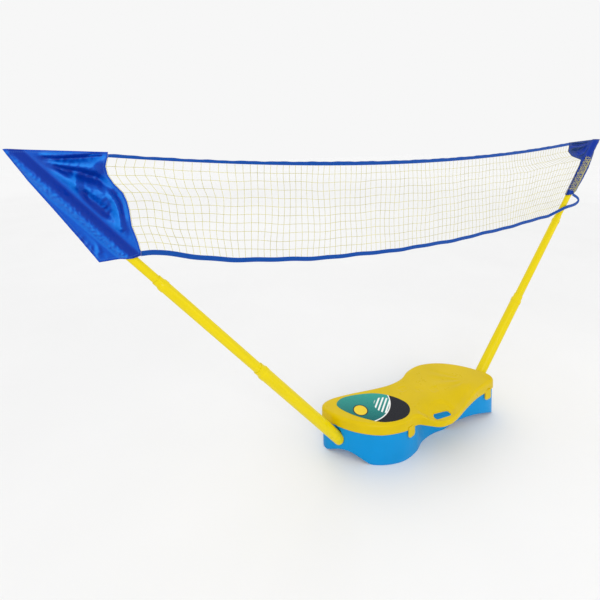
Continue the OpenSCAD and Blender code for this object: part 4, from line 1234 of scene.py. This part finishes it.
def hem_of(side):
    """For each point of a layer: how far along the hem it is, and how far inside the edge."""
    plan = np.moveaxis(pocket_plan(side), 0, 2) / 1000
    rim = np.concatenate([plan[:, -1], plan[-1, -2::-1], plan[-2::-1, 0], plan[0, 1:]])
    along = np.cumsum(np.linalg.norm(np.diff(rim, axis=0, prepend=rim[:1]), axis=1))
    out = []
    for p in plan.reshape(-1, 2):
        far = np.hypot(*(rim - p).T)
        out.append((along[far.argmin()], far.min()))
    return np.array(out)


def pocket_faces():
    """Outer layer and lining, each of two sides joined at the hem, open together at the foot."""
    n, faces = ROWS * COLS, []
    seam = ([j * COLS + COLS - 1 for j in range(ROWS)]
            + [(ROWS - 1) * COLS + i for i in range(COLS - 2, -1, -1)]
            + [j * COLS for j in range(ROWS - 2, -1, -1)])
    for first, inward in ((0, False), (2 * n, True)):
        faces += grid_faces(ROWS, COLS, start=first, flip=inward)
        faces += grid_faces(ROWS, COLS, start=first + n, flip=not inward)
        faces += [(first + a, first + a + n, first + b + n, first + b)
                  for a, b in zip(seam, seam[1:])]
    for first in (0, n):
        faces += [(first + a, first + a + 1, first + a + 1 + 2 * n, first + a + 2 * n)
                  for a in range(COLS - 1)]
    return faces + [(a, a + n, a + 3 * n, a + 2 * n) for a in (0, COLS - 1)]


def add_painted_light(data, side, depth):
    """Paints light into the satin: each point's painted brightness comes from how it faces a fixed
    light's way and from its fold, with painted shade near the hem.
    """
    low, high = PAINTED_LIGHT_RANGE[side]
    hem = np.tile(hem_of(side), (4, 1))
    normals = np.empty(len(data.vertices) * 3, "f")
    data.vertices.foreach_get("normal", normals)
    nx, ny, nz = normals.reshape(-1, 3).T
    # Painted light: brightness from how the point faces a fixed way up, to the front and to the
    # left, as if lit from there
    facing = 0.3 * nz + 0.5 * np.abs(ny) - 0.68 * nx
    painted_light = np.clip(smooth((facing - 0.26) / 0.48) + 0.024 * depth, 0, 1)
    painted_light = low + (high - low) * painted_light * (0.6 + 0.4 * smooth(hem[:, 1] / 0.007))
    hem = np.column_stack([hem, np.zeros(len(hem))])
    for name, kind, key, values in (("hem", "FLOAT_VECTOR", "vector", hem),
                                    ("painted_light", "FLOAT", "value", painted_light)):
        layer = data.attributes.new(name, kind, "POINT")
        layer.data.foreach_set(key, values.astype("f").ravel())


class NETSET_OT_pockets(Operator):
    """Sews the two cloth pockets that slip over the pole tips"""

    bl_idname = "netset.pockets"
    bl_label = "Pockets"

    def execute(self, context):
        for side, word in SIDES:
            layers = [pocket_layer(side, lining) for lining in (False, True)]
            points, uvs, depth = (np.concatenate(pair) for pair in zip(*layers))
            pocket = mesh_object(word + "_pocket_cloth", points, pocket_faces(), uvs)
            add_painted_light(pocket.data, side, depth)
            dress(pocket, FINISH["cloth"])
            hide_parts(word + "_pocket")
            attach(pocket, word + "_lower")
        return {"FINISHED"}


# ---- Stage ---------------------------------------------------------------------------------
FLOOR_HALF = 12
# From and to this distance the floor lightens by this much towards the sky's tone
FAR_FROM, FAR_TO, FAR_GLOW = 1.6, 7.5, 0.115
SKY = 0.93
# Lamps: name, place, aim, size and power
LAMPS = (("key", (-1.6, -3.4, 2.2), (0, 0, 0.4), 2.0, 36),
         ("fill", (2.4, -2.8, 1.8), (0, 0, 0.4), 2.0, 10),
         ("back", (0.5, 3.2, 3.0), (0, 0, 0.5), 2.4, 12))
EYE, EYE_TURN, LENS, LENS_SHIFT = (-0.9582, -1.04 + Y_SHIFT, 1.0548), -0.4581, 22.8, -0.2817


def area_light(name, place, aim, size, power):
    data = bpy.data.lights.new(name, "AREA")
    data.shape, data.size, data.energy = "DISK", size, power
    lamp = add_object(name, data)
    lamp.location = place
    lamp.rotation_euler = (Vector(aim) - Vector(place)).to_track_quat("-Z", "Y").to_euler()


class NETSET_OT_stage(Operator):
    """Lays the floor, sets the lamps and the sky and places the camera"""

    bl_idname = "netset.stage"
    bl_label = "Stage"

    def execute(self, context):
        self.lay_floor(context.scene.netset_stage.floor_colour[:])
        world = context.scene.world = bpy.data.worlds.new("sky")
        world.use_nodes = True
        back = world.node_tree.nodes["Background"]
        back.inputs["Color"].default_value = (1, 1, 1, 1)
        back.inputs["Strength"].default_value = SKY
        for lamp in LAMPS:
            area_light(*lamp)
        camera = bpy.data.cameras.new("camera")
        camera.sensor_width, camera.lens, camera.shift_y = 36, LENS, LENS_SHIFT
        eye = context.scene.camera = add_object("camera", camera)
        eye.location, eye.rotation_euler = EYE, (math.pi / 2, 0, EYE_TURN)
        context.scene.view_settings.view_transform = "Standard"
        return {"FINISHED"}

    @staticmethod
    def lay_floor(colour):
        data = bpy.data.meshes.new("floor")
        data.from_pydata([(x * FLOOR_HALF, y * FLOOR_HALF, 0)
                          for x, y in ((-1, -1), (1, -1), (1, 1), (-1, 1))], [], [(0, 1, 2, 3)])
        floor = add_object("floor", data)
        f = Finish("floor_paint", colour, 0.7)
        f.feed(Base_Color=f.mix(f.cloud(f.space(), 1.5, 3), shade(colour, 0.985),
                                shade(colour, 1.01)), Emission_Color=(1, 1, 1, 1))
        away = f.node("VectorMath", operation="LENGTH", Vector=f.space()).outputs["Value"]
        seen, path = 0.0, f.node("LightPath").outputs
        for ray in ("Is Camera Ray", "Is Glossy Ray", "Is Transmission Ray"):
            seen = f.math("ADD", path[ray], seen)
        f.feed(Emission_Strength=f.math(
            "MULTIPLY", seen, f.spread(away, FAR_FROM, FAR_TO, 0, FAR_GLOW)))
        dress(floor, f)


# ---- Panel and start -----------------------------------------------------------------------
STEPS = (NETSET_OT_finishes, NETSET_OT_case, NETSET_OT_mesh, NETSET_OT_tapes,
         NETSET_OT_pockets, NETSET_OT_stage)
GROUPS = {"netset_case": NetSetCase, "netset_poles": NetSetPoles, "netset_net": NetSetNet,
          "netset_stage": NetSetStage}


class NETSET_PT_panel(Panel):
    """Settings and steps of the net set"""

    bl_label = "Net set"
    bl_idname = "NETSET_PT_panel"
    bl_space_type = "VIEW_3D"
    bl_region_type = "UI"
    bl_category = "Net set"

    def draw(self, context):
        for name, group in GROUPS.items():
            box = self.layout.box()
            for key in group.__annotations__:
                box.prop(getattr(context.scene, name), key)
        for step in STEPS:
            self.layout.operator(step.bl_idname)


def register():
    for group in GROUPS.values():
        bpy.utils.register_class(group)
    for step in STEPS:
        bpy.utils.register_class(step)
    bpy.utils.register_class(NETSET_PT_panel)
    for name, group in GROUPS.items():
        setattr(bpy.types.Scene, name, PointerProperty(type=group))


def unregister():
    for name in GROUPS:
        delattr(bpy.types.Scene, name)
    bpy.utils.unregister_class(NETSET_PT_panel)
    for step in reversed(STEPS):
        bpy.utils.unregister_class(step)
    for group in reversed(list(GROUPS.values())):
        bpy.utils.unregister_class(group)


def main():
    register()
    for step in STEPS:
        category, name = step.bl_idname.split(".")
        getattr(getattr(bpy.ops, category), name)()


if __name__ == "__main__":
    main()
